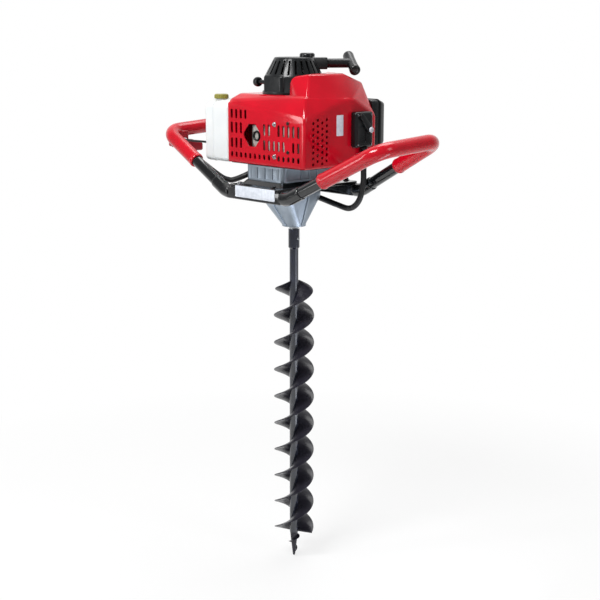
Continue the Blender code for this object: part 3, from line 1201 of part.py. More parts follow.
def build_bit(black, steel):
    """Soil bit: shaft with socket, two flights, pilot screw and the pin that holds it."""
    bore = bored(SPIGOT_R, ROUND_MID)
    bore_end = BIT_TOP - SPIGOT_LENGTH - SOCKET_END
    neck = BIT_TOP - SOCKET_LENGTH
    profile = [(0.0, bore_end), (bore, bore_end), (bore, BIT_TOP), (SOCKET_R, BIT_TOP), (SOCKET_R, neck),
               (BIT_SHAFT_R, neck - SOCKET_TAPER), (BIT_SHAFT_R, SHAFT_END), (0.0, SHAFT_END)]
    shaft = turned("bit_shaft", profile, ROUND_MID)
    across = along((1, 0, 0), (0, 0, BIT_PIN_Z))
    half = SOCKET_R + BIT_PIN_OVERHANG
    pin_hole = rod("pin_hole", bored(BIT_PIN_R, ROUND_SMALL), -half, half, ROUND_SMALL, across)
    dress(combine(shaft, [pin_hole]), black, (0.0, 0.0, 0.0))
    dress(rod("bit_pin", BIT_PIN_R, -half, half, ROUND_SMALL, across), steel, (0.0, 0.0, 0.0))
    for name, start in (("flight_a", FLIGHT_START), ("flight_b", FLIGHT_START + math.pi)):
        blade = helix_blade(name, BIT_SHAFT_R + SEAT, lambda share: FLIGHT_R, FLIGHT_ROOT_T, FLIGHT_EDGE_T,
                            BIT_TOP - FLIGHT_TOP, FLIGHT_LENGTH, FLIGHT_LEAD, start, FLIGHT_STEPS,
                            FLIGHT_LEAD_IN)
        dress(blade, black, (0.0, 0.0, 0.0))
    start = SHAFT_END - SEAT
    tip = start - PILOT_LENGTH
    profile = [(0.0, start), (PILOT_CORE_R, start), (PILOT_CORE_R * 0.8, start - PILOT_LENGTH * 0.3),
               (PILOT_CORE_R * 0.3, tip + PILOT_LENGTH * 0.06), (0.0, tip)]
    core = turned("pilot_screw", profile, ROUND_SMALL)
    blade = helix_blade("blade", PILOT_AXIS_R, lambda share: PILOT_R * (1.0 - PILOT_TAPER * share),
                        PILOT_ROOT_T, PILOT_EDGE_T, start - PILOT_ROOT_T, PILOT_SCREW,
                        PILOT_SCREW / PILOT_TURNS, FLIGHT_START, ROUND_MID, PILOT_LEAD_IN)
    dress(combine(core, [blade], "UNION"), black, (0.0, 0.0, 0.0))


def main():
    """Build the auger."""
    clear_scene()
    steel_black = finish("black_painted_steel", (0.012, 0.013, 0.015), 0.35, 0.0)
    red = finish("red_plastic", (0.62, 0.008, 0.020), 0.18, 0.0)
    dark_red = finish("dark_red_plastic", (0.25, 0.010, 0.015), 0.35, 0.0)
    black = finish("black_plastic", (0.014, 0.015, 0.017), 0.40, 0.0)
    rubber = finish("black_rubber", (0.010, 0.010, 0.011), 0.60, 0.0)
    cast = finish("cast_aluminium", (0.42, 0.44, 0.46), 0.45, 0.9)
    steel = finish("bright_steel", (0.55, 0.55, 0.56), 0.30, 1.0)
    silver = finish("silencer_steel", (0.50, 0.49, 0.47), 0.38, 1.0)
    white = finish("translucent_tank", (0.86, 0.87, 0.85), 0.35, 0.0)
    olive = finish("olive_cap", (0.45, 0.40, 0.08), 0.40, 0.0)
    foam = finish("filter_foam", (0.10, 0.10, 0.09), 0.95, 0.0)
    ceramic = finish("plug_ceramic", (0.80, 0.80, 0.78), 0.25, 0.0)
    rope = finish("starter_cord", (0.70, 0.70, 0.66), 0.80, 0.0)
    build_handle_frame(steel_black, red)
    build_throttle(dark_red, steel, rubber)
    build_gear_train(cast, steel, rubber)
    build_clutch(cast, steel)
    build_engine(cast, steel, black, silver, ceramic)
    build_cover(red)
    build_intake(black, cast, foam, steel)
    build_tank(white, olive)
    build_starter(black, steel, rope)
    build_bit(steel_black, steel)


main()
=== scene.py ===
"""Looks of a petrol engine earth auger.

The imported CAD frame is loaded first, and every piece is set in its coordinates: metres, +Z up, the
output axis on Z, the silencer front at -Y and the cylinder side at +X.  The pieces that show from
outside are modelled again here at full smoothness, with the fasteners, welds, seams and bare plates
that the solids leave out, and ride on the CAD bodies.
"""

import logging
import math
from collections.abc import Callable, Sequence
from dataclasses import dataclass, field
from enum import Enum

import bmesh
import bpy
from mathutils import Matrix, Vector
from mathutils.geometry import tessellate_polygon


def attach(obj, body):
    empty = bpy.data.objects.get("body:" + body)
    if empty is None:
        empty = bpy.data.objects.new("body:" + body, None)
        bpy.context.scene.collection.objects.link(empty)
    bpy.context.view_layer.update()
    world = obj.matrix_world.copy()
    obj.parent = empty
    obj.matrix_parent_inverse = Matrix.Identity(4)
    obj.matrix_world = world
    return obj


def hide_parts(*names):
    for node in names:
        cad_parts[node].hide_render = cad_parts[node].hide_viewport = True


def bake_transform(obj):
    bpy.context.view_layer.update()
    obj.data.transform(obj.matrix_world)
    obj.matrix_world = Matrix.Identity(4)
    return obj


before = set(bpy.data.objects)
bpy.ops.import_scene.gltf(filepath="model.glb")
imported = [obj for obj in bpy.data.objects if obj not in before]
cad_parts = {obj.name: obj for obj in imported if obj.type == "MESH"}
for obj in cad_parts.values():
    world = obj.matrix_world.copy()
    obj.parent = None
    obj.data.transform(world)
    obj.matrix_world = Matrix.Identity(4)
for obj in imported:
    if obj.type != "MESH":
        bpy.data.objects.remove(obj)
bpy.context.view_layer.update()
LOG = logging.getLogger("auger")

Object = bpy.types.Object
Outline = Sequence[tuple[float, float]]
Points = list[tuple[float, float, float]]
# Fits in metres: a piece on its seat, a piece that turns in its bore, how far a cutter passes what it cuts,
# and the glue under a plate
SEAT = 0.0003
RUN = 0.0005
FREE = 0.002
TRIM = 0.0001
MM = 0.001
# A profile point with a smaller radius lies on the axis
ON_AXIS = 1e-7
# Lay an outline upright: facing the front, and facing the cylinder side
TALL = Matrix.Rotation(math.pi / 2, 4, "X")
ACROSS = Matrix(((0, 0, 1, 0), (1, 0, 0, 0), (0, 1, 0, 0), (0, 0, 0, 1)))


class Body(Enum):
    """Rigid bodies of the frame that pieces ride on."""

    FRAME = "frame"
    AUGER = "auger"
    THROTTLE = "throttle_lever_body"
    STARTER_GRIP = "starter_grip_body"
    CHOKE = "choke_lever_body"
    STOP = "stop_button_body"
    FUEL_CAP = "fuel_cap_body"
    SCREW = "screw_body"


class Texture(Enum):
    """Ways in which a surface was made, each with its own relief."""

    PEEL = "paint or gloss moulding with a faint orange peel"
    SPARK = "spark-eroded mould grain"
    CAST = "sand-like skin of a die casting"
    LATHE = "fine turning lines"
    BLOWN = "slow waves of a blow-moulded wall"
    CELLS = "open foam cells"
    BRAID = "crossing strands of a braided cord"
    PAPER = "film-faced label stock"


def linear(code: str) -> tuple[float, float, float, float]:
    """Turn an sRGB hex colour to linear.

    Args:
        code: six hex digits after a hash.

    Returns:
        Red, green, blue and an alpha of one.
    """
    shares = [int(code[k:k + 2], 16) / 255 for k in (1, 3, 5)]
    bent = [s / 12.92 if s <= 0.04045 else ((s + 0.055) / 1.055) ** 2.4 for s in shares]
    return (bent[0], bent[1], bent[2], 1.0)


def add(tree: bpy.types.NodeTree, kind: str, inputs: dict[str | int, object] | None = None,
        **settings: object) -> bpy.types.Node:
    """Add a node with its settings and links.

    Args:
        tree: node tree that takes the node.
        kind: node type name.
        inputs: socket name or index to a value, or to the output socket that feeds it.
        **settings: node properties.

    Returns:
        The new node.
    """
    node = tree.nodes.new(kind)
    for key, value in settings.items():
        setattr(node, key, value)
    for key, value in (inputs or {}).items():
        if isinstance(value, bpy.types.NodeSocket):
            tree.links.new(value, node.inputs[key])
        else:
            node.inputs[key].default_value = value
    return node


@dataclass(frozen=True)
class Finish:
    """A material with a real surface: two close colours, a roughness that varies and a relief.

    Sizes are in millimetres.  The relief's depth is the full height from valley to crest.
    """

    name: str
    slot: str
    colour: str
    shade: str
    roughness: float
    texture: Texture
    relief_mm: float
    depth_mm: float
    metallic: float = 0.0
    ior: float = 1.5
    coat: float = 0.0
    coat_roughness: float = 0.05
    scatter: float = 0.0
    scatter_mm: float = 4.0
    cloud_mm: float = 70.0
    spread: float = 0.06

    def height(self, tree: bpy.types.NodeTree, place: bpy.types.NodeSocket) -> bpy.types.NodeSocket:
        """Relief of the surface.

        Args:
            tree: node tree of the material.
            place: object coordinates in metres.

        Returns:
            Socket with a height from nought to one.
        """
        scale = 1000.0 / self.relief_mm
        if self.texture is Texture.LATHE:
            stretch = add(tree, "ShaderNodeMapping", {"Vector": place, "Scale": (0.05, 0.05, 1.0)})
            return add(tree, "ShaderNodeTexNoise", {"Vector": stretch.outputs[0], "Scale": scale}).outputs[0]
        if self.texture is Texture.CELLS:
            return add(tree, "ShaderNodeTexVoronoi", {"Vector": place, "Scale": scale}).outputs["Distance"]
        if self.texture is Texture.BRAID:
            one = add(tree, "ShaderNodeTexWave", {"Vector": place, "Scale": scale / 6},
                      bands_direction="DIAGONAL")
            flip = add(tree, "ShaderNodeMapping", {"Vector": place, "Rotation": (0.0, 0.0, math.pi / 2)})
            two = add(tree, "ShaderNodeTexWave", {"Vector": flip.outputs[0], "Scale": scale / 6},
                      bands_direction="DIAGONAL")
            return add(tree, "ShaderNodeMath", {0: one.outputs["Fac"], 1: two.outputs["Fac"]},
                       operation="MAXIMUM").outputs[0]
        if self.texture is Texture.CAST:
            pits = add(tree, "ShaderNodeTexVoronoi", {"Vector": place, "Scale": scale, "Smoothness": 0.6},
                       feature="SMOOTH_F1")
            skin = add(tree, "ShaderNodeTexNoise", {"Vector": place, "Scale": scale / 4, "Detail": 5.0})
            return add(tree, "ShaderNodeMath", {0: pits.outputs["Distance"], 1: skin.outputs[0]},
                       operation="ADD").outputs[0]
        detail = {Texture.PEEL: 1.0, Texture.SPARK: 4.0, Texture.BLOWN: 2.0, Texture.PAPER: 3.0}[self.texture]
        return add(tree, "ShaderNodeTexNoise", {"Vector": place, "Scale": scale, "Detail": detail}).outputs[0]

    def build(self) -> bpy.types.Material:
        """Make the material.

        Returns:
            A node material that is ready to assign.
        """
        mat = bpy.data.materials.new(self.name)
        mat.use_nodes = True
        tree = mat.node_tree
        shader = tree.nodes["Principled BSDF"]
        place = add(tree, "ShaderNodeTexCoord").outputs["Object"]
        cloud = add(tree, "ShaderNodeTexNoise", {"Vector": place, "Scale": 1000.0 / self.cloud_mm,
                                                 "Detail": 5.0})
        lift = add(tree, "ShaderNodeMapRange", {"Value": cloud.outputs[0], "From Min": 0.3, "From Max": 0.7})
        tint = add(tree, "ShaderNodeMix", {0: lift.outputs[0], 6: linear(self.colour), 7: linear(self.shade)},
                   data_type="RGBA")
        tree.links.new(tint.outputs[2], shader.inputs["Base Color"])
        height = self.height(tree, place)
        rough = add(tree, "ShaderNodeMapRange", {"Value": cloud.outputs[0], "From Min": 0.25,
                                                 "From Max": 0.75, "To Min": self.roughness - self.spread,
                                                 "To Max": self.roughness + self.spread})
        tree.links.new(rough.outputs[0], shader.inputs["Roughness"])
        relief = add(tree, "ShaderNodeBump", {"Height": height, "Strength": 1.0,
                                              "Distance": self.depth_mm * MM})
        tree.links.new(relief.outputs[0], shader.inputs["Normal"])
        shader.inputs["Metallic"].default_value = self.metallic
        if not self.metallic:
            shader.inputs["IOR"].default_value = self.ior
        shader.inputs["Coat Weight"].default_value = self.coat
        shader.inputs["Coat Roughness"].default_value = self.coat_roughness
        if self.scatter:
            shader.inputs["Subsurface Weight"].default_value = self.scatter
            shader.inputs["Subsurface Scale"].default_value = self.scatter_mm * MM
            shader.inputs["Subsurface Radius"].default_value = (1.0, 0.95, 0.85)
        return mat


# Mould grain, casting pits, lathe lines, foam cells and cord strands are really 0.1 to 0.5 mm across, too
# fine to show, and are drawn at 0.6 to 2 mm.
# ABS, injection moulded in a polished tool: deep wet gloss with sharp highlights and a trace of flow.
COVER_RED = Finish("moulded_gloss_abs_red", "red_gloss", "#c8041f", "#b4031b", 0.14, Texture.PEEL, 9.0, 0.02,
                   coat=0.15, coat_roughness=0.03, ior=1.46, spread=0.03)
# Plasticised PVC, dip moulded on the tube: as bright as the cover, softer in its highlights.
GRIP_RED = Finish("dip_moulded_pvc_red", "red_gloss", "#c4051e", "#b00319", 0.20, Texture.PEEL, 14.0, 0.012,
                  coat=0.1)
# Nylon, injection moulded: dull dark red that keeps a soft sheen.
LEVER_RED = Finish("moulded_nylon_dark_red", "dark_red", "#a01626", "#87111f", 0.34, Texture.SPARK, 1.6, 0.05)
# Glass-filled nylon from a spark-eroded mould: near black, with a fine grain that breaks up its sheen.
NYLON = Finish("moulded_glass_filled_nylon_black", "black_plastic", "#0a0c0e", "#101315", 0.30, Texture.SPARK,
               1.5, 0.010, ior=1.45)
# Steel tube with baked gloss enamel: black with long clean highlights and a faint orange peel.
ENAMEL = Finish("baked_enamel_black", "black_paint", "#08090a", "#0e1012", 0.16, Texture.PEEL, 5.0, 0.008,
                coat=0.5)
# Rolled steel flights with sprayed enamel: dark slate, satin, so that the pale floor leaves a soft sheen.
BIT_ENAMEL = Finish("sprayed_enamel_blue_black", "black_paint", "#2d2c34", "#211f28", 0.30, Texture.PEEL, 6.0,
                    0.004, coat=0.1, coat_roughness=0.12, ior=1.42, cloud_mm=35.0)
# Drawn steel bar, same spray, tinted cool blue as a painted reflection; its round carries one clear cool
# highlight end to end.
BAR_ENAMEL = Finish("sprayed_enamel_on_drawn_bar_painted_blue_reflection", "black_paint", "#242839", "#181b27", 0.18, Texture.PEEL,
                    6.0, 0.003, coat=1.0, coat_roughness=0.08, cloud_mm=35.0)
# Aluminium, pressure die cast and shot blasted: even mid grey with a fine pitted skin.
CASTING = Finish("die_cast_aluminium", "cast_aluminium", "#a4aeb9", "#8d97a2", 0.44, Texture.CAST, 1.8, 0.05,
                 metallic=1.0, cloud_mm=40.0)
# Steel, turned and zinc plated: bright, cool, with fine lathe lines.
ZINC = Finish("zinc_plated_turned_steel", "bright_steel", "#c3c6c9", "#aeb2b6", 0.26, Texture.LATHE, 0.6,
              0.01, metallic=1.0, cloud_mm=12.0)
# Aluminised steel sheet, pressed: warm grey, dulled by heat.
SILENCER = Finish("pressed_aluminised_steel", "silencer_steel", "#c9c6c1", "#a9a49c", 0.46, Texture.PEEL, 7.0,
                  0.05, metallic=1.0, cloud_mm=30.0, spread=0.1)
# Natural polyethylene, blow moulded: milky, lit from inside, with slow waves in the wall.
TANK = Finish("blow_moulded_polyethylene", "tank_white", "#e3e6e6", "#d6dadb", 0.34, Texture.BLOWN, 22.0,
              0.25, scatter=0.55, ior=1.51)
# Polypropylene, injection moulded: olive yellow, satin.
CAP = Finish("moulded_polypropylene_olive", "cap_olive", "#8f8a3c", "#7c7732", 0.40, Texture.SPARK, 1.5, 0.03)
# EPDM sleeve, extruded: soft black without a bright highlight.
SLEEVE = Finish("extruded_epdm_black", "black_rubber", "#121213", "#1a1a1b", 0.42, Texture.SPARK, 2.0, 0.03)
# Polyurethane foam, open celled: dull brown grey, dark in its cells.
FOAM = Finish("open_cell_polyurethane", "filter_foam", "#4a473d", "#37352d", 0.9, Texture.CELLS, 2.0, 0.6)
# Alumina ceramic, glazed: clean white with a sharp highlight.
CERAMIC = Finish("glazed_alumina", "plug_ceramic", "#eceae4", "#dedbd3", 0.14, Texture.PEEL, 4.0, 0.01)
# Nylon cord, braided: pale strands that cross each other.
CORD = Finish("braided_nylon_cord", "starter_cord", "#cfccc2", "#b5b1a5", 0.7, Texture.BRAID, 1.2, 0.25)
# Polyester label film, blank: white, satin, quite flat.
LABEL = Finish("polyester_label_film", "tank_white", "#dde1e9", "#c4cad4", 0.36, Texture.PAPER, 3.0, 0.01,
               cloud_mm=9.0)


class Dresser:
    """Gives finished pieces their material and body."""

    def __init__(self) -> None:
        """Start with no materials made."""
        self.made: dict[str, bpy.types.Material] = {}

    def material(self, finish: Finish) -> bpy.types.Material:
        """Material of a finish, made once.

        Args:
            finish: the finish.

        Returns:
            The material that all pieces of this finish share.
        """
        if finish.name not in self.made:
            self.made[finish.name] = finish.build()
        return self.made[finish.name]

    def settle(self, obj: Object, finish: Finish, body: Body = Body.FRAME, *nodes: str) -> Object:
        """Finish a piece.

        Args:
            obj: the piece, in place.
            finish: its finish.
            body: the body it moves with.
            *nodes: CAD nodes that it stands for.

        Returns:
            The piece.
        """
        obj.data.materials.clear()
        obj.data.materials.append(self.material(finish))
        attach(obj, body.value)
        if nodes:
            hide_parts(*nodes)
        LOG.info("%s rides on %s", obj.name, body.value)
        return obj

    def repaint(self, finish: Finish, *nodes: str) -> None:
        """Give CAD nodes whose shape is right a finish.

        Args:
            finish: the finish.
            *nodes: names of the nodes.
        """
        for node in nodes:
            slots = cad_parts[node].data.materials
            slots.clear()
            slots.append(self.material(finish))
            LOG.info("%s keeps its shape", node)


def shaded(obj: Object, angle: float = 32.0) -> Object:
    """Shade a piece smooth, with sharp edges above an angle.

    Args:
        obj: the piece.
        angle: least angle of a sharp edge in degrees.

    Returns:
        The piece.
    """
    obj.data.shade_smooth()
    obj.data.set_sharp_from_angle(angle=math.radians(angle))
    return obj


def solid(name: str, bm: bmesh.types.BMesh) -> Object:
    """Turn a bmesh into a linked object with outward faces.

    Args:
        name: object name.
        bm: the mesh, which is used up.

    Returns:
        The piece.
    """
    bmesh.ops.recalc_face_normals(bm, faces=bm.faces)
    mesh = bpy.data.meshes.new(name)
    bm.to_mesh(mesh)
    bm.free()
    obj = bpy.data.objects.new(name, mesh)
    bpy.context.scene.collection.objects.link(obj)
    return shaded(obj)


def along(direction: Sequence[float], origin: Sequence[float]) -> Matrix:
    """Matrix that lays a shape's own Z on a direction, from an origin."""
    turn = Vector(direction).to_track_quat("Z", "Y").to_matrix().to_4x4()
    return Matrix.Translation(Vector(origin)) @ turn


def circle(radius: float, sides: int = 32, centre: Sequence[float] = (0.0, 0.0)) -> list[tuple[float, float]]:
    """Points of a circle."""
    turn = [2.0 * math.pi * k / sides for k in range(sides)]
    return [(centre[0] + radius * math.cos(a), centre[1] + radius * math.sin(a)) for a in turn]


def box_points(x: Sequence[float], y: Sequence[float], z: Sequence[float]) -> Points:
    """Points with every mix of the given coordinates, such as the corners of a box."""
    return [(a, b, c) for a in x for b in y for c in z]


def bridge(bm: bmesh.types.BMesh, one: Sequence[bmesh.types.BMVert],
           two: Sequence[bmesh.types.BMVert]) -> None:
    """Join two rings of as many points with a band of faces.

    Args:
        bm: mesh that takes the faces.
        one: first ring; a point on the axis is repeated all the way round.
        two: second ring.
    """
    for k in range(len(one)):
        n = (k + 1) % len(one)
        face = list(dict.fromkeys((one[k], one[n], two[n], two[k])))
        if len(face) > 2:
            bm.faces.new(face)


def turned(name: str, profile: Outline, sides: int = 64, place: Matrix | None = None) -> Object:
    """Turn an (r, z) profile round Z.

    Args:
        name: object name.
        profile: points; one that leaves the axis at both ends is a closed ring.
        sides: facets round the axis.
        place: where it goes.

    Returns:
        The piece.
    """
    bm = bmesh.new()
    rings = []
    for r, z in profile:
        if r < ON_AXIS:
            rings.append([bm.verts.new((0.0, 0.0, z))] * sides)
        else:
            rings.append([bm.verts.new((x, y, z)) for x, y in circle(r, sides)])
    closed = profile[0][0] > ON_AXIS
    for lower, upper in zip(rings, rings[1:] + (rings[:1] if closed else [])):
        bridge(bm, lower, upper)
    if place is not None:
        bm.transform(place)
    return solid(name, bm)


def rod(name: str, radius: float, z0: float, z1: float, sides: int = 32,
        place: Matrix | None = None) -> Object:
    """Solid cylinder from z0 to z1."""
    return turned(name, [(0.0, z0), (radius, z0), (radius, z1), (0.0, z1)], sides, place)


def prism(name: str, outline: Outline, z0: float, z1: float, holes: Sequence[Outline] = (),
          place: Matrix | None = None) -> Object:
    """Extrude a flat outline with holes.

    Args:
        name: object name.
        outline: points in the plane.
        z0: lower end.
        z1: upper end.
        holes: outlines of the holes.
        place: where it goes.

    Returns:
        The piece.
    """
    bm = bmesh.new()
    loops = [list(outline)] + [list(hole) for hole in holes]
    low = [[bm.verts.new((x, y, z0)) for x, y in loop] for loop in loops]
    high = [[bm.verts.new((x, y, z1)) for x, y in loop] for loop in loops]
    for below, above in zip(low, high):
        bridge(bm, below, above)
    if len(loops) == 1:
        bm.faces.new(low[0])
        bm.faces.new(high[0])
    else:
        caps = tessellate_polygon([[Vector((x, y, 0.0)) for x, y in loop] for loop in loops])
        for verts in (low, high):
            flat = [vert for loop in verts for vert in loop]
            for a, b, c in caps:
                bm.faces.new((flat[a], flat[b], flat[c]))
    if place is not None:
        bm.transform(place)
    return solid(name, bm)


def rounded(x: Sequence[float], y: Sequence[float], radius: float,
            steps: int = 8) -> list[tuple[float, float]]:
    """Outline of a rectangle with round corners.

    Args:
        x: low and high side.
        y: low and high side.
        radius: radius of the corners.
        steps: facets across a corner.

    Returns:
        Points of the outline.
    """
    outline = []
    for cx, cy, quarter in ((x[1], y[1], 0), (x[0], y[1], 1), (x[0], y[0], 2), (x[1], y[0], 3)):
        inner_x = cx - radius if quarter in (0, 3) else cx + radius
        inner_y = cy - radius if quarter in (0, 1) else cy + radius
        for k in range(steps + 1):
            a = math.pi / 2 * (quarter + k / steps)
            outline.append((inner_x + radius * math.cos(a), inner_y + radius * math.sin(a)))
    return outline


def hull(name: str, points: Sequence[Sequence[float]], bevel: float = 0.0, steps: int = 5) -> Object:
    """Convex body round points.

    Args:
        name: object name.
        points: points that it takes in.
        bevel: radius of its rounded edges.
        steps: facets across a rounded edge.

    Returns:
        The piece.
    """
    bm = bmesh.new()
    for point in points:
        bm.verts.new(point)
    result = bmesh.ops.convex_hull(bm, input=bm.verts)
    unused = [item for item in result["geom_interior"] if isinstance(item, bmesh.types.BMVert)]
    bmesh.ops.delete(bm, geom=unused, context="VERTS")
    bmesh.ops.dissolve_limit(bm, angle_limit=math.radians(1.0), verts=bm.verts, edges=bm.edges)
    if bevel > 0.0:
        sharp = [edge for edge in bm.edges if edge.calc_face_angle(0.0) > math.radians(20.0)]
        bmesh.ops.bevel(bm, geom=sharp, offset=bevel, segments=steps, profile=0.5, affect="EDGES",
                        clamp_overlap=True)
    return solid(name, bm)


def settled_mesh(obj: Object) -> Object:
    """Apply every modifier of a piece.

    Args:
        obj: the piece.

    Returns:
        The piece.
    """
    bpy.context.view_layer.update()
    graph = bpy.context.evaluated_depsgraph_get()
    mesh = bpy.data.meshes.new_from_object(obj.evaluated_get(graph))
    obj.modifiers.clear()
    obj.data = mesh
    return shaded(obj)


def joined(name: str, pieces: Sequence[Object]) -> Object:
    """Put the meshes of several pieces into one object.

    Args:
        name: object name.
        pieces: objects that are used up.

    Returns:
        The piece.
    """
    bm = bmesh.new()
    for piece in pieces:
        bm.from_mesh(piece.data)
        bpy.data.objects.remove(piece, do_unlink=True)
    return solid(name, bm)


def cut(obj: Object, tools: Sequence[Object], operation: str = "DIFFERENCE") -> Object:
    """Cut tools out of a piece, or join them to it.

    Args:
        obj: the piece.
        tools: bodies that are used up.
        operation: DIFFERENCE, UNION or INTERSECT.

    Returns:
        The piece.
    """
    for tool in tools:
        step = obj.modifiers.new("step", "BOOLEAN")
        step.operation = operation
        step.solver = "EXACT"
        step.object = tool
    settled_mesh(obj)
    for tool in tools:
        bpy.data.objects.remove(tool, do_unlink=True)
    return obj


def eased(obj: Object, width: float, steps: int = 3, angle: float = 35.0) -> Object:
    """Round the sharp edges of a piece.

    Args:
        obj: the piece.
        width: width of the rounding.
        steps: facets across it.
        angle: least edge angle in degrees.

    Returns:
        The piece.
    """
    edge = obj.modifiers.new("edge", "BEVEL")
    edge.width = width
    edge.segments = steps
    edge.limit_method = "ANGLE"
    edge.angle_limit = math.radians(angle)
    return settled_mesh(obj)


def filleted(points: Sequence[Sequence[float]], radii: Sequence[float], steps: int = 16) -> list[Vector]:
    """Path through points with round bends.

    Args:
        points: ends and corners of the path.
        radii: bend radius at each corner.
        steps: facets along a bend.

    Returns:
        Points of the path.
    """
    path = [Vector(points[0])]
    for before, corner, after, radius in zip(points, points[1:], points[2:], radii):
        corner = Vector(corner)
        back = (Vector(before) - corner).normalized()
        ahead = (Vector(after) - corner).normalized()
        half = back.angle(ahead) / 2
        middle = corner + (back + ahead).normalized() * (radius / math.sin(half))
        start = (corner + back * (radius / math.tan(half)) - middle).normalized()
        end = (corner + ahead * (radius / math.tan(half)) - middle).normalized()
        path += [middle + start.slerp(end, k / steps) * radius for k in range(steps + 1)]
    path.append(Vector(points[-1]))
    return path


def smooth_route(points: Sequence[Sequence[float]], step: float) -> list[Vector]:
    """Smooth curve through given points.

    Args:
        points: the points.
        step: distance between points of the curve, about.

    Returns:
        Points of the curve.
    """
    knots = [Vector(point) for point in points]
    knots = [2 * knots[0] - knots[1]] + knots + [2 * knots[-1] - knots[-2]]
    route = []
    for a, b, c, d in zip(knots, knots[1:], knots[2:], knots[3:]):
        count = max(1, round((c - b).length / step))
        for k in range(count):
            t = k / count
            route.append(0.5 * (2 * b + (c - a) * t + (2 * a - 5 * b + 4 * c - d) * t ** 2
                                + (3 * b - a - 3 * c + d) * t ** 3))
    return route + [knots[-2]]


def walked(path: Sequence[Vector], stops: Sequence[float]) -> list[Vector]:
    """Points of a path at distances from its start.

    Args:
        path: the path.
        stops: distances, in rising order.

    Returns:
        One point for each distance.
    """
    result = []
    k, done = 0, 0.0
    for stop in stops:
        while k < len(path) - 2 and done + (path[k + 1] - path[k]).length < stop:
            done += (path[k + 1] - path[k]).length
            k += 1
        length = (path[k + 1] - path[k]).length
        result.append(path[k].lerp(path[k + 1], min(1.0, (stop - done) / length)))
    return result


def path_length(path: Sequence[Vector]) -> float:
    """Length of a path."""
    return sum((b - a).length for a, b in zip(path, path[1:]))


def swept(name: str, path: Sequence[Vector], radii: Sequence[float], sides: int = 40,
          bore: float = 0.0) -> Object:
    """Round bar along a path.

    Args:
        name: object name.
        path: centre line.
        radii: radius at each point of the path.
        sides: facets round it.
        bore: radius of a hole all the way through, or nought.

    Returns:
        The piece.
    """
    bm = bmesh.new()
    last = len(path) - 1
    tangents = [(path[min(k + 1, last)] - path[max(k - 1, 0)]).normalized() for k in range(last + 1)]
    side = tangents[0].orthogonal().normalized()
    outer, inner = [], []
    for point, tangent, radius in zip(path, tangents, radii):
        side = (side - tangent * side.dot(tangent)).normalized()
        across = tangent.cross(side)
        rim = [side * x + across * y for x, y in circle(1.0, sides)]
        outer.append([bm.verts.new(point + r * radius) for r in rim])
        if bore:
            inner.append([bm.verts.new(point + r * bore) for r in rim])
    for rings in (outer, inner):
        for one, two in zip(rings, rings[1:]):
            bridge(bm, one, two)
    for end in (0, -1):
        if bore:
            bridge(bm, outer[end], inner[end])
        else:
            bm.faces.new(outer[end])
    return solid(name, bm)


def hex_bolt(name: str, at: Sequence[float], out: Sequence[float], flats: float, head: float) -> Object:
    """Flanged hexagon bolt head.

    Args:
        name: object name.
        at: middle of the seat.
        out: direction that the head points.
        flats: size across the flats.
        head: height of the head.

    Returns:
        The piece.
    """
    place = along(out, at)
    flange = turned("flange", [(0.0, 0.0), (flats * 0.82, 0.0), (flats * 0.82, head * 0.18),
                               (flats * 0.6, head * 0.36), (0.0, head * 0.36)], 40, place)
    nut = eased(prism("nut", circle(flats / math.sqrt(3.0), 6), head * 0.3, head, (), place), head * 0.09, 2)
    return joined(name, [flange, nut])


def socket_screw(at: Sequence[float], out: Sequence[float], radius: float, head: float) -> Object:
    """Cap screw head with a hexagon socket.

    Args:
        at: middle of the seat.
        out: direction that the head points.
        radius: radius of the head.
        head: height of the head.

    Returns:
        The piece.
    """
    place = along(out, at)
    top = head - radius * 0.12
    skin = turned("skin", [(0.0, 0.0), (radius, 0.0), (radius, top), (radius * 0.88, head), (0.0, head)], 32,
                  place)
    return shaded(cut(skin, [prism("socket", circle(radius * 0.55, 6), head * 0.45, head * 1.4, (), place)]))


def weld_bead(name: str, at: Sequence[float], out: Sequence[float], radius: float, thick: float) -> Object:
    """Ring of overlapping weld ripples round a joint.

    Args:
        name: object name.
        at: middle of the ring.
        out: direction of its axis.
        radius: radius of the bead's middle line.
        thick: radius of the bead at the crest of a ripple.

    Returns:
        The piece.
    """
    around, across, waves, dip = 144, 10, 14.0, 0.18
    bm = bmesh.new()
    rings = []
    for k in range(around):
        a = 2.0 * math.pi * k / around
        swell = thick * (1.0 - dip + dip * abs(math.sin(a * waves)))
        rings.append([bm.verts.new(((radius + dr) * math.cos(a), (radius + dr) * math.sin(a), dz))
                      for dr, dz in circle(swell, across)])
    for one, two in zip(rings, rings[1:] + rings[:1]):
        bridge(bm, one, two)
    bm.transform(along(out, at))
    return solid(name, bm)


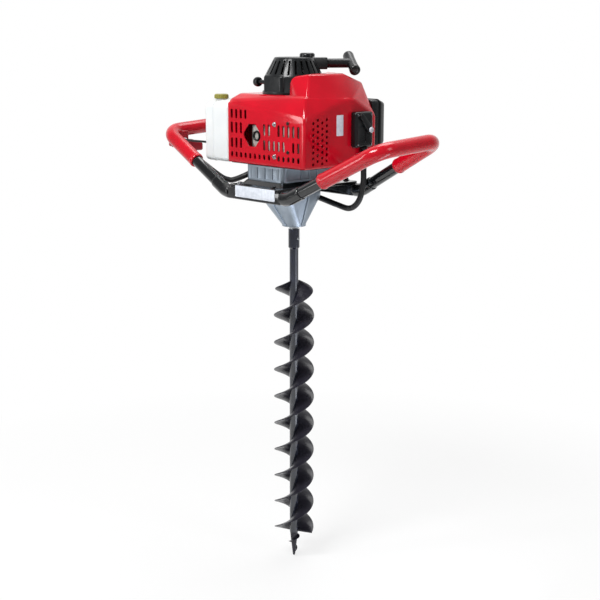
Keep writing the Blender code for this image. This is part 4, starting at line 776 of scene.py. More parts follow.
@dataclass
class HandleFrame:
    """Two square bars, two tube loops with grips, the frame plate, and what is fixed to them."""

    tube_r: float = 0.014
    bar_y: float = 0.121
    bar_side: float = 0.028
    foot_x: float = 0.108
    loop_x: float = 0.366
    loop_y: float = 0.097
    loop_z: float = 0.126
    loop_rise: float = 0.012
    foot_bend: float = 0.060
    loop_bend: float = 0.042
    grip_r: float = 0.0178
    grip_lip: float = 0.0024
    grip_bead: float = 0.0008
    grip_bead_span: float = 0.011
    long_leg: float = 0.178
    short_leg: float = 0.148
    plate_t: float = 0.016
    rim_t: float = 0.006
    plate_half_y: float = 0.134
    plate_corner: float = 0.012
    plate_hole_r: float = 0.030
    seat_x: float = 0.062
    seat_y: tuple[float, float] = (-0.095, 0.077)
    rise_foot: float = 0.016
    rise_top: float = 0.004
    sleeve_length: float = 0.062
    sleeve_t: float = 0.0022
    bolt_x: float = 0.0585
    bolt_flats: float = 0.010
    bolt_head: float = 0.0062
    label_x: tuple[float, float] = (-0.060, 0.078)
    label_z: tuple[float, float] = (-0.0075, 0.0195)

    @property
    def bar_half(self) -> float:
        """Half length of a bar, up to where the loop's bend starts."""
        leg = Vector((self.loop_x - self.foot_x, self.bar_y - self.loop_y, self.loop_z + self.loop_rise))
        return self.foot_x - self.foot_bend * math.tan(leg.angle(Vector((1.0, 0.0, 0.0))) / 2) - FREE

    def leg(self, side: int, end: int) -> tuple[Vector, Vector]:
        """Ends of one leg, before its bends.

        Args:
            side: -1 left, 1 right.
            end: -1 front, 1 back.

        Returns:
            The leg's foot and the loop's corner.
        """
        height = self.loop_z + (self.loop_rise if end > 0 else 0.0)
        return (Vector((side * self.foot_x, end * self.bar_y, 0.0)),
                Vector((side * self.loop_x, end * self.loop_y, height)))

    def cross_run(self, y: float) -> Vector:
        """Point of the left loop's cross run at a place along Y."""
        return Vector((-self.loop_x, y,
                       self.loop_z + self.loop_rise * (y + self.loop_y) / (2.0 * self.loop_y)))

    def loop_path(self, side: int) -> list[Vector]:
        """Centre line of one loop, from the front bar's end to the rear bar's.

        Args:
            side: -1 left, 1 right.

        Returns:
            Points of the line.
        """
        (front_foot, front), (back_foot, back) = self.leg(side, -1), self.leg(side, 1)
        feet = [Vector((side * (self.bar_half + SEAT), y, 0.0)) for y in (-self.bar_y, self.bar_y)]
        points = [feet[0], front_foot, front, back, back_foot, feet[1]]
        return filleted(points, (self.foot_bend, self.loop_bend, self.loop_bend, self.foot_bend))

    def grip_path(self, side: int) -> list[Vector]:
        """Centre line of a grip; the longer leg is at the front right and at the back left.

        Args:
            side: -1 left, 1 right.

        Returns:
            Points of the line.
        """
        lengths = (self.long_leg, self.short_leg) if side > 0 else (self.short_leg, self.long_leg)
        corners, ends = [], []
        for end, length in zip((-1, 1), lengths):
            foot, corner = self.leg(side, end)
            corners.append(corner)
            ends.append(corner.lerp(foot, length / (foot - corner).length))
        return filleted([ends[0], *corners, ends[1]], (self.loop_bend, self.loop_bend), 24)

    def grip(self, name: str, side: int) -> Object:
        """Grip sleeve with rolled lips.

        Args:
            name: object name.
            side: -1 left, 1 right.

        Returns:
            The piece.
        """
        path = self.grip_path(side)
        length = path_length(path)
        near = [0.0, 0.0005, 0.0012, 0.0022, 0.0035, 0.0050, 0.0065, 0.0080, 0.0095, 0.0110, 0.0130]
        bends = [path_length(path[:k + 1]) for k in range(1, len(path) - 1)]
        stops = near + bends + [length - s for s in reversed(near)]
        lip, span = self.grip_lip, self.grip_bead_span
        radii = []
        for stop in stops:
            end = min(stop, length - stop)
            drop = lip - math.sqrt(max(0.0, lip ** 2 - (lip - min(end, lip)) ** 2))
            bead = self.grip_bead * math.sin(math.pi * min(end, span) / span) ** 2
            radii.append(self.grip_r - drop * 0.8 + bead)
        return swept(name, walked(path, stops), radii, 72, self.tube_r + SEAT)

    def plate(self) -> Object:
        """Pressed plate: a flat rim round a raised seat with sloping sides.

        Returns:
            The piece.
        """
        x, z0 = self.bar_half - FREE, self.tube_r + SEAT
        outline = rounded((-x, x), (-self.plate_half_y, self.plate_half_y), self.plate_corner)
        sheet = prism("frame_plate_pressing", outline, z0, z0 + self.rim_t)
        rise = []
        for grow, z in ((self.rise_foot, z0 + self.rim_t / 2), (self.rise_top, z0 + self.plate_t)):
            sx, sy = self.seat_x + grow, (self.seat_y[0] - grow, self.seat_y[1] + grow)
            rise += [(*point, z) for point in rounded((-sx, sx), sy, self.plate_corner)]
        cut(sheet, [hull("rise", rise)], "UNION")
        cut(sheet, [rod("hole", self.plate_hole_r, z0 - FREE, z0 + self.plate_t + FREE, 64)])
        return eased(sheet, 0.0010, 3)

    def sleeve(self, name: str, side: int, end: int) -> Object:
        """Reinforcing sleeve on the tube, from the bar's end round the bend.

        Args:
            name: object name.
            side: -1 left, 1 right.
            end: -1 front, 1 back.

        Returns:
            The piece.
        """
        path = self.loop_path(side)
        route = path if end < 0 else path[::-1]
        stops = [0.0005, 0.0012, 0.002] + [0.004 + (self.sleeve_length - 0.008) * k / 24 for k in range(25)]
        stops += [self.sleeve_length - 0.002, self.sleeve_length - 0.0008, self.sleeve_length]
        outer, edge = self.tube_r + self.sleeve_t, 0.0010
        radii = ([outer - edge, outer - edge * 0.3] + [outer] * (len(stops) - 4)
                 + [outer - edge * 0.3, outer - edge])
        return swept(name, walked(route, stops), radii, 40, self.tube_r + SEAT)

    def build(self, dresser: Dresser) -> None:
        """Build and dress the handle frame.

        Args:
            dresser: gives the pieces their finishes.
        """
        half = self.bar_side / 2
        for name, y in (("front_bar", -self.bar_y), ("rear_bar", self.bar_y)):
            outline = rounded((-half, half), (-half, half), 0.003, 5)
            bar = prism(f"{name}_tube", outline, -self.bar_half, self.bar_half, (),
                        along((1, 0, 0), (0.0, y, 0.0)))
            dresser.settle(eased(bar, 0.0008), ENAMEL, Body.FRAME, name)
        for word, side in (("left", -1), ("right", 1)):
            path = self.loop_path(side)
            tube = swept(f"{word}_loop", path, [self.tube_r] * len(path), 40)
            dresser.settle(tube, ENAMEL, Body.FRAME, f"{word}_loop_tube")
            dresser.settle(self.grip(f"{word}_grip_sleeve", side), GRIP_RED, Body.FRAME, f"{word}_grip")
            for place, end in (("front", -1), ("rear", 1)):
                bead = weld_bead(f"{word}_{place}_weld", (side * self.bar_half, end * self.bar_y, 0.0),
                                 (side, 0, 0), self.tube_r + 0.0004, 0.0018)
                dresser.settle(bead, ENAMEL)
                dresser.settle(self.sleeve(f"{word}_{place}_sleeve", side, end), ENAMEL)
        dresser.settle(self.plate(), ENAMEL, Body.FRAME, "frame_plate")
        rim = self.tube_r + SEAT + self.rim_t
        for k, (bx, by) in enumerate(((-1, -1), (1, -1), (1, 1), (-1, 1))):
            at = (bx * self.bolt_x, by * self.bar_y, rim)
            bolt = hex_bolt(f"plate_bolt_{k}", at, (0, 0, 1), self.bolt_flats, self.bolt_head)
            # The front left bolt is bright zinc and the others black enamel: its brightness is a painted
            # highlight.
            dresser.settle(bolt, ZINC if k == 0 else ENAMEL)
        face = self.bar_y + half
        outline = rounded(self.label_x, self.label_z, 0.0015, 4)
        label = prism("bar_label_plate", outline, face + TRIM, face + 0.0009, (), TALL)
        dresser.settle(eased(label, 0.0002, 2), LABEL)


@dataclass
class Throttle:
    """Throttle housing and lever under the left loop, and the cable to the carburettor."""

    handle: HandleFrame = field(default_factory=HandleFrame)
    y: tuple[float, float] = (-0.080, -0.044)
    half_x: float = 0.021
    drop: float = 0.043
    mouth_depth: float = 0.018
    mouth_roof: float = 0.004
    lever_length: float = 0.062
    lever_half_x: float = 0.0125
    set_back: float = 0.008
    pivot_drop: float = 0.033
    heel: float = 0.004
    sag: float = 0.004
    fall: float = 0.010
    thick: tuple[float, float, float] = (0.009, 0.015, 0.010)
    pin_r: float = 0.0025
    cable_r: float = 0.007
    bare_r: float = 0.0028
    bare_length: float = 0.13
    lead_r: float = 0.0068
    ferrule_wall: float = 0.0028
    clamp_screws: tuple[float, float] = (-0.014, 0.014)
    cable_lead: float = 0.009
    cable_drop: float = 0.024
    cable_end: tuple[float, float, float] = (0.147, 0.088, 0.1087)

    @property
    def top(self) -> float:
        """Upper edge of the housing, at the middle of the grip."""
        return self.handle.cross_run(sum(self.y) / 2).z

    @property
    def pivot(self) -> Vector:
        """Middle of the lever's pin."""
        return self.handle.cross_run(self.y[1] - self.set_back) - Vector((0.0, 0.0, self.pivot_drop))

    @property
    def cable_start(self) -> Vector:
        """Where the cable leaves the housing."""
        return Vector((-self.handle.loop_x + self.half_x + SEAT, sum(self.y) / 2, self.top - self.cable_drop))

    def housing(self) -> Object:
        """Clamp-on housing with a groove for the grip and a mouth for the lever.

        Returns:
            The piece.
        """
        mid, bottom = -self.handle.loop_x, self.top - self.drop
        x = (mid - self.half_x, mid + self.half_x)
        body = hull("throttle_clamp", box_points(x, self.y, (bottom, self.top)), 0.005)
        path = self.handle.grip_path(-1)
        groove = swept("groove", path, [self.handle.grip_r + 0.0009] * len(path), 64)
        gap = self.lever_half_x + RUN
        y0, y1 = self.y[1] - self.mouth_depth, self.y[1] + FREE
        mouth = prism("mouth", [(mid - gap, y0), (mid + gap, y0), (mid + gap, y1), (mid - gap, y1)],
                      bottom - FREE, self.top - self.handle.grip_r - self.mouth_roof)
        pin_hole = rod("pin_hole", self.pin_r + SEAT, -0.03, 0.03, 24, along((1, 0, 0), self.pivot))
        return eased(cut(body, [groove, mouth, pin_hole]), 0.0005, 2, 50.0)

    def lever(self) -> Object:
        """Lever with a thick finger pad.

        Returns:
            The piece.
        """
        pivot = self.pivot
        heel = pivot - Vector((0.0, self.heel, 0.0))
        end = pivot + Vector((0.0, self.lever_length, -self.fall))
        shape = []
        for point, half in zip((heel, pivot.lerp(end, 0.45), end), self.thick):
            for dx in (-self.lever_half_x, self.lever_half_x):
                shape += [point + Vector((dx, 0.0, dz - self.sag)) for dz in (half, -half)]
        body = hull("throttle_pad", shape, 0.005, 6)
        return cut(body, [rod("bore", self.pin_r + RUN, -0.03, 0.03, 24, along((1, 0, 0), pivot))])

    def cable(self) -> Object:
        """Sleeved cable from the housing, under the frame and up to the intake box.

        Returns:
            The piece.
        """
        end = Vector(self.cable_end)
        sides = (self.handle.loop_x, self.handle.bar_y, self.handle.loop_z)
        shares = ((-0.863, -0.413, 0.81), (-0.836, -0.083, 0.762), (-0.792, 0.372, 0.619),
                  (-0.645, 0.645, 0.349), (-0.451, 0.76, 0.032), (-0.26, 0.711, -0.143), (0.0, 0.628, -0.175),
                  (0.191, 0.603, -0.262), (0.322, 0.595, -0.302), (0.388, 0.645, -0.143),
                  (0.404, 0.711, 0.175), (0.402, 0.727, 0.46))
        knots = [Vector([share * side for share, side in zip(point, sides)]) for point in shares]
        route = [self.cable_start, self.cable_start + Vector((self.cable_lead, 0.0, 0.0)), *knots]
        route += [end - Vector((0.0, 0.0, drop * self.cable_r)) for drop in (3.0, 1.5, 0.0)]
        path = smooth_route(route, 0.004)
        bare = round(self.bare_length / path_length(path) * len(path))
        radii = [self.bare_r if k < bare else self.cable_r for k in range(len(path))]
        return swept("throttle_cable_sleeve", path, radii, 24)

    def stop_lead(self) -> Object:
        """Sleeved lead of the stop switch, along the left leg and up under the engine cover.

        Returns:
            The piece.
        """
        knots = ((-0.352, -0.071, 0.0848), (-0.351, -0.071, 0.078), (-0.335, -0.074, 0.0745),
                 (-0.315, -0.0764, 0.0727), (-0.290, -0.079, 0.069), (-0.2635, -0.0814, 0.0612),
                 (-0.2334, -0.084, 0.051), (-0.1958, -0.0879, 0.0375), (-0.160, -0.091, 0.026),
                 (-0.1361, -0.0919, 0.0224), (-0.118, -0.090, 0.0235), (-0.091, -0.074, 0.036),
                 (-0.080, -0.045, 0.050), (-0.078, -0.015, 0.058), (-0.078, 0.006, 0.0625))
        path = smooth_route(knots, 0.005)
        return swept("stop_lead_sleeve", path, [self.lead_r] * len(path), 24)

    def build(self, dresser: Dresser) -> None:
        """Build and dress the throttle.

        Args:
            dresser: gives the pieces their finishes.
        """
        dresser.settle(self.housing(), LEVER_RED, Body.FRAME, "throttle_housing")
        dresser.settle(self.lever(), LEVER_RED, Body.THROTTLE, "throttle_lever")
        dresser.settle(self.cable(), SLEEVE, Body.FRAME, "throttle_cable")
        dresser.settle(self.stop_lead(), SLEEVE)
        inner, outer = self.cable_r + RUN, self.cable_r + self.ferrule_wall
        ferrule = [(inner, 0.0), (outer, 0.0), (outer, 0.003), (outer - 0.001, 0.004), (outer - 0.001, 0.008),
                   (inner, 0.009)]
        up = along((0, 0, -1), Vector(self.cable_end) - Vector((0.0, 0.0, TRIM)))
        dresser.settle(turned("cable_ferrule_low", ferrule, 40, up), NYLON)
        thin = self.bare_r + RUN
        wide, slim = 0.0062, 0.0046
        nut = [(thin, 0.0), (wide, 0.0), (wide, 0.004), (slim, 0.005), (slim, 0.0085), (thin, 0.0095)]
        out = along((1, 0, 0), self.cable_start + Vector((SEAT, 0.0, 0.0)))
        dresser.settle(turned("cable_adjuster", nut, 6, out), ZINC)
        dresser.repaint(ZINC, "throttle_pin", "throttle_arm")
        for dx in self.clamp_screws:
            at = (-self.handle.loop_x + dx, self.y[0] + 0.010, self.top - self.drop)
            dresser.settle(socket_screw(at, (0, 0, -1), 0.0028, 0.002), ZINC)


@dataclass
class GearBox:
    """Clutch housing above the frame plate, and the funnel-shaped gear case below it."""

    half_x: float = 0.050
    front: float = 0.080
    back: float = 0.058
    corner: float = 0.030
    case_z1: float = 0.0037
    case_depth: float = 0.089
    collar: float = 0.016
    nose_r: float = 0.0265
    rib_t: float = 0.006
    rib_proud: float = 0.004
    ring_proud: float = 0.0025
    ring_h: float = 0.011
    lid_z: tuple[float, float] = (0.0040, 0.0140)
    housing_z: tuple[float, float] = (0.0306, 0.0660)
    housing_half_x: float = 0.062
    housing_front: float = 0.095
    housing_back: float = 0.077
    housing_corner: float = 0.012
    flange_proud: float = 0.0032
    boss_r: float = 0.0115
    boss_in: float = 0.009
    rib_pitch: float = 0.026
    clutch_r: float = 0.0445
    pinion_way_r: float = 0.0062
    lid_hole_r: float = 0.0130
    big_bearing_r: float = 0.0208
    small_bearing_r: float = 0.0128
    shaft_way_r: float = 0.0145
    chamber_r: float = 0.0345
    centres: float = 0.0375
    chamber_depth: float = 0.037
    side_depth: float = 0.0165
    bearing_w: float = 0.009
    seat_depth: float = 0.0160

    @property
    def case_z0(self) -> float:
        """Lower end of the nose."""
        return self.case_z1 - self.case_depth

    @property
    def outline(self) -> list[tuple[float, float]]:
        """Outline of the case and its lid, seen from above."""
        return rounded((-self.half_x, self.half_x), (-self.front, self.back), self.corner, 12)

    def chambers(self) -> list[Object]:
        """Room for both gear stages and their bearings, as in the CAD casting.

        Returns:
            Bodies to cut out.
        """
        floor, ledge, roof = (self.case_z1 - self.chamber_depth, self.case_z1 - self.side_depth,
                              self.case_z1 + FREE)
        step, shoulder = floor - self.bearing_w - SEAT, self.case_z0 + self.seat_depth
        big, small, way, wide = self.big_bearing_r, self.small_bearing_r, self.shaft_way_r, self.chamber_r
        nose = self.case_z0 - FREE
        main_bore = [(0.0, nose), (big, nose), (big, shoulder), (way, shoulder), (way, step), (big, step),
                     (big, floor), (wide, floor), (wide, roof), (0.0, roof)]
        side_bore = [(0.0, step), (small, step), (small, ledge), (wide, ledge), (wide, roof), (0.0, roof)]
        shift = Matrix.Translation((0.0, -self.centres, 0.0))
        return [turned("main_bore", main_bore, 64), turned("side_bore", side_bore, 64, shift)]

    def case(self) -> Object:
        """Funnel with four ribs and an open nose.

        Returns:
            The piece.
        """
        points = [(x, y, z) for x, y in self.outline for z in (self.case_z1, self.case_z1 - self.collar)]
        points += [(x, y, self.case_z0) for x, y in circle(self.nose_r, 48)]
        funnel = hull("gear_case_casting", points)
        nose = self.nose_r + self.rib_proud
        low_z, knee_z, high_z = self.case_z0 + 0.001, self.case_z1 - self.collar, self.case_z1 - 0.001
        ribs = []
        for turn, low, high in ((0.0, self.half_x, self.half_x), (math.pi / 2, self.front, self.back)):
            low, high = low + self.rib_proud, high + self.rib_proud
            shape = [(-nose, low_z), (nose, low_z), (high, knee_z), (high, high_z), (-low, high_z),
                     (-low, knee_z)]
            ribs.append(prism("rib", shape, -self.rib_t / 2, self.rib_t / 2, (),
                              Matrix.Rotation(turn, 4, "Z") @ TALL))
        ring, low, high = self.nose_r + self.ring_proud, self.case_z0, self.case_z0 + self.ring_h
        profile = [(0.0, low), (ring, low), (ring, high - 0.003), (self.nose_r, high), (0.0, high)]
        ribs.append(turned("nose_ring", profile, 64))
        cut(funnel, ribs, "UNION")
        return eased(cut(funnel, self.chambers()), 0.0010, 3, 40.0)

    def housing(self) -> Object:
        """Clutch housing with a foot flange, corner bosses and ribs.

        Returns:
            The piece.
        """
        x, y = (-self.housing_half_x, self.housing_half_x), (-self.housing_front, self.housing_back)
        low, high = self.housing_z
        body = prism("clutch_housing_casting", rounded(x, y, self.housing_corner), low, high)
        grow = self.flange_proud
        flange = rounded((x[0] - grow, x[1] + grow), (y[0] - grow, y[1] + grow), 0.0150)
        extra = [prism("foot", flange, low, low + 0.005), prism("brim", flange, high - 0.004, high)]
        for bx in x:
            for by in y:
                sx, sy = math.copysign(self.boss_in, bx), math.copysign(self.boss_in, by)
                extra.append(rod("boss", self.boss_r, low + 0.0005, high - 0.0005, 40,
                                 Matrix.Translation((bx - sx, by - sy, 0.0))))
        cut(body, extra, "UNION")
        ribs = []
        for at in (-self.rib_pitch, 0.0, self.rib_pitch):
            for span in (((at - 0.002, at + 0.002), (y[0] - 0.0025, y[0] + 0.004)),
                         ((x[1] - 0.004, x[1] + 0.0025), (at - 0.011, at - 0.007))):
                ribs.append(prism("rib", rounded(*span, 0.0015, 4), low + 0.003, high - 0.0004))
        cut(body, ribs, "UNION")
        chamber = rod("chamber", self.clutch_r, low + 0.006, high + FREE, 64)
        passage = rod("passage", self.pinion_way_r, low - FREE, high, 32)
        return eased(cut(body, [chamber, passage]), 0.0008, 3)

    def build(self, dresser: Dresser) -> None:
        """Build and dress the castings.

        Args:
            dresser: gives the pieces their finishes.
        """
        dresser.settle(self.case(), CASTING, Body.FRAME, "gear_case")
        lid = prism("gear_case_cover", self.outline, *self.lid_z, [circle(self.lid_hole_r, 40)])
        dresser.settle(eased(lid, 0.0008), CASTING, Body.FRAME, "gear_case_lid")
        dresser.settle(self.housing(), CASTING, Body.FRAME, "clutch_housing")
        dresser.repaint(ZINC, "input_pinion", "countershaft", "counter_gear", "output_gear", "pinion_bearing",
                        "counter_bearing", "output_bearing_upper", "output_bearing_lower", "clutch_drum",
                        "clutch_rotor", "output_shaft")
        dresser.repaint(SLEEVE, "oil_seal")


@dataclass
class EngineCover:
    """Red moulded cover over the engine, and what shows through its openings."""

    x0: float = -0.131
    x1: float = 0.138
    front: float = 0.098
    back: float = 0.139
    base_z: float = 0.0663
    shelf_z: float = 0.232
    inset: float = 0.022
    wall: float = 0.0026
    edge_r: float = 0.006
    fold_x: float = 0.010
    fold_y: float = -0.007
    side_top_y: float = 0.058
    fall_front_left: float = 0.018
    fall_fold: float = 0.034
    fall_front_right: float = 0.052
    fall_side_fold: float = 0.024
    fall_side_top: float = 0.008
    fall_back_right: float = 0.050
    fall_back_left: float = 0.030
    hump_x: float = 0.044
    hump_z: float = 0.280
    hump_back_z: float = 0.258
    well_r: float = 0.079
    slot_w: float = 0.0075
    slot_pitch: float = 0.0165
    slot_from: float = -0.114
    slot_columns: int = 15
    top_row_end: float = -0.060
    slot_rows: tuple[tuple[float, float], ...] = ((0.184, 0.022), (0.151, 0.027), (0.115, 0.024),
                                                  (0.087, 0.013))
    hexagon: tuple[float, float] = (-0.041, 0.136)
    hexagon_half: tuple[float, float] = (0.030, 0.0265)
    bright_screws: tuple[tuple[float, float], ...] = ((0.0375, 0.166), (0.0375, 0.091))
    # Screws that sit in recesses of the cover: their black heads are painted shade of the recesses
    recess_shade_screws: tuple[tuple[float, float], ...] = ((0.083, 0.1700), (0.083, 0.1040))
    screw_r: float = 0.0042
    washer_r: float = 0.0056
    washer_hole_r: float = 0.0020
    washer_t: float = 0.0010
    vent_r: float = 0.0036
    vent_rows: tuple[int, int] = (4, 8)
    vent_from: tuple[float, float] = (-0.070, 0.078)
    vent_pitch: tuple[float, float] = (0.0145, 0.0134)
    intake: tuple[tuple[float, float], tuple[float, float]] = ((0.054, 0.113), (0.109, 0.192))
    outlet: tuple[float, float] = (-0.036, 0.134)
    outlet_r: float = 0.011
    silencer_face: float = 0.0863
    badge: tuple[tuple[float, float], tuple[float, float]] = ((0.0045, 0.0265), (0.139, 0.187))

    def body_points(self, low: float, gap: float) -> Points:
        """Corners of the folded body, pulled in by a gap.

        Args:
            low: height of the lower corners.
            gap: distance inside the outer skin.

        Returns:
            The corners.
        """
        left, right = self.x0 + gap, self.x1 - gap
        front, back = -self.front + gap, self.back - gap
        top = self.shelf_z - gap
        foot = box_points((left, right), (front, back), (low,))
        crown = [(left + self.inset, front + self.inset, top), (right - self.inset, front + self.inset, top),
                 (right - self.inset, back - self.inset, top), (left + self.inset, back - self.inset, top)]
        skirt = [(left, front, top - self.fall_front_left), (self.fold_x, front, top - self.fall_fold),
                 (right, front, top - self.fall_front_right), (right, self.fold_y, top - self.fall_side_fold),
                 (right, self.side_top_y, top - self.fall_side_top),
                 (right, back, top - self.fall_back_right), (left, back, top - self.fall_back_left)]
        return foot + skirt + crown

    def hump(self) -> Object:
        """Raised right side of the cover.

        Returns:
            The piece.
        """
        left, right, front, back = self.hump_x, self.x1, -self.front + self.wall, self.back
        edge, under, ridge = right - 0.001, self.shelf_z - FREE, 0.060
        crest = [(left, front + 0.039, self.hump_z - 0.007), (right - 0.040, front + 0.050, self.hump_z),
                 (right - 0.032, ridge, self.hump_z), (left, ridge, self.hump_z + 0.003),
                 (left, back - 0.012, self.hump_back_z), (right - 0.036, back - 0.012, self.hump_back_z)]
        foot = [(left, front + 0.036, self.shelf_z - 0.004),
                (edge, front + FREE, under - self.fall_front_right),
                (edge, self.fold_y, under - self.fall_side_fold),
                (edge, self.side_top_y, under - self.fall_side_top),
                (edge, back - FREE, under - self.fall_back_right),
                (left, back - FREE, under - self.fall_back_left)]
        return hull("hump", crest + foot, 0.005, 5)

    def shell(self) -> Object:
        """Cover skin with a hollow inside, a starter well on top and all the openings.

        Returns:
            The piece.
        """
        skin = hull("engine_cover_pressing", self.body_points(self.base_z, 0.0), self.edge_r, 5)
        cut(skin, [self.hump()], "UNION")
        hollow = hull("hollow", self.body_points(self.base_z - 0.02, self.wall), self.edge_r - self.wall)
        well = rod("well", self.well_r, self.shelf_z - 0.0003, self.hump_z + 0.03, 96)
        air = turned("air", [(0.0, self.shelf_z + FREE), (0.056, self.shelf_z + FREE),
                             (0.056, self.shelf_z - 0.014), (0.0, self.shelf_z - 0.014)], 64)
        for tools in ([hollow], [well], [air], self.openings()):
            cut(skin, tools)
        span = [(low - SEAT, high + SEAT) for low, high in self.intake]
        cut(skin, [prism("window", rounded(*span, 0.0062), self.x1 - 0.038, self.x1 + 0.022, (), ACROSS)])
        return shaded(skin)

    def crowded(self, x: float, z: float, height: float) -> bool:
        """Whether a slot would run into the hexagon or a cover screw.

        Args:
            x: middle of the slot along X.
            z: middle of the slot's height.
            height: height of the slot.

        Returns:
            True where the slot is left out.
        """
        (cx, cz), (hx, hz) = self.hexagon, self.hexagon_half
        if abs(x - cx) < hx + self.slot_w and abs(z - cz) < hz + 0.004:
            return True
        heads = [(*spot, self.washer_r) for spot in self.bright_screws]
        heads += [(*spot, self.screw_r) for spot in self.recess_shade_screws]
        return any(abs(x - sx) < r + self.slot_w / 2 and abs(z - sz) < r + height / 2 for sx, sz, r in heads)

    def openings(self) -> list[Object]:
        """Slots and hexagon at the front, round vents at the side.

        Returns:
            Bodies to cut out.
        """
        tools: list[Object] = []
        (cx, cz), (hx, hz) = self.hexagon, self.hexagon_half
        depth = (self.front - 0.018, self.front + 0.012)
        for row, (z, height) in enumerate(self.slot_rows):
            for k in range(self.slot_columns):
                x = self.slot_from + k * self.slot_pitch
                if (row == 0 and x > self.top_row_end) or self.crowded(x, z, height):
                    continue
                shape = rounded((x - self.slot_w / 2, x + self.slot_w / 2), (z - height / 2, z + height / 2),
                                0.0034, 4)
                tools.append(prism("slot", shape, *depth, (), TALL))
        tip, flat = 0.0045, 0.012
        six = [(cx + hx, cz - tip), (cx + hx, cz + tip), (cx + flat, cz + hz), (cx - flat, cz + hz),
               (cx - hx, cz + tip), (cx - hx, cz - tip), (cx - flat, cz - hz), (cx + flat, cz - hz)]
        tools.append(prism("hexagon", six, *depth, (), TALL))
        columns, rows = self.vent_rows
        for a in range(columns):
            for b in range(rows):
                y = self.vent_from[0] + a * self.vent_pitch[0]
                z = self.vent_from[1] + (b + 0.5 * (a % 2)) * self.vent_pitch[1]
                tools.append(rod("vent", self.vent_r, self.x1 - 0.012, self.x1 + 0.012, 16,
                                 along((1, 0, 0), (0.0, y, z))))
        return tools

    def outlet_ring(self) -> Object:
        """Black ring round the exhaust outlet, in front of the silencer.

        Returns:
            The piece.
        """
        r = self.outlet_r
        profile = [(r * 0.72, 0.0), (r + 0.0020, 0.0), (r + 0.0020, 0.0012), (r + 0.0004, 0.0042),
                   (r - 0.0010, 0.0048), (r * 0.72, 0.0022)]
        middle = (self.outlet[0], -self.silencer_face - 0.0002, self.outlet[1])
        return turned("outlet_ring", profile, 48, along((0, -1, 0), middle))

    def build(self, dresser: Dresser) -> None:
        """Build and dress the cover and the engine inside it.

        Args:
            dresser: gives the pieces their finishes.
        """
        dresser.settle(self.shell(), COVER_RED, Body.FRAME, "engine_cover")
        for k, (x, z) in enumerate(self.bright_screws):
            hole, r, t = self.washer_hole_r, self.washer_r, self.washer_t
            profile = [(hole, 0.0), (r, 0.0), (r, t * 0.7), (r - 0.0006, t), (hole, t)]
            place = along((0, -1, 0), (x, -self.front - TRIM, z))
            dresser.settle(turned(f"cover_washer_{k}", profile, 40, place), ZINC)
            screw = socket_screw((x, -self.front - self.washer_t, z), (0, -1, 0), self.screw_r, 0.0032)
            dresser.settle(screw, ZINC)
        # Screws in the cover's recesses, made black as painted shade of the recesses.
        for x, z in self.recess_shade_screws:
            dresser.settle(socket_screw((x, -self.front, z), (0, -1, 0), self.screw_r, 0.0020), NYLON)
        dresser.settle(self.outlet_ring(), NYLON)
        outline = rounded(*self.badge, 0.002, 4)
        badge = prism("cover_badge_plate", outline, self.x1 + TRIM, self.x1 + 0.0008, (), ACROSS)
        dresser.settle(eased(badge, 0.0002, 2), LABEL)
        dresser.repaint(SILENCER, "silencer")
        dresser.repaint(NYLON, "exhaust_outlet", "engine_base", "spark_plug_cap", "inlet_manifold")
        dresser.repaint(CASTING, "crankcase", "cylinder", "flywheel_fan", "carburettor")
        dresser.repaint(ZINC, "crankshaft", "starter_cup")
        dresser.repaint(CERAMIC, "spark_plug")


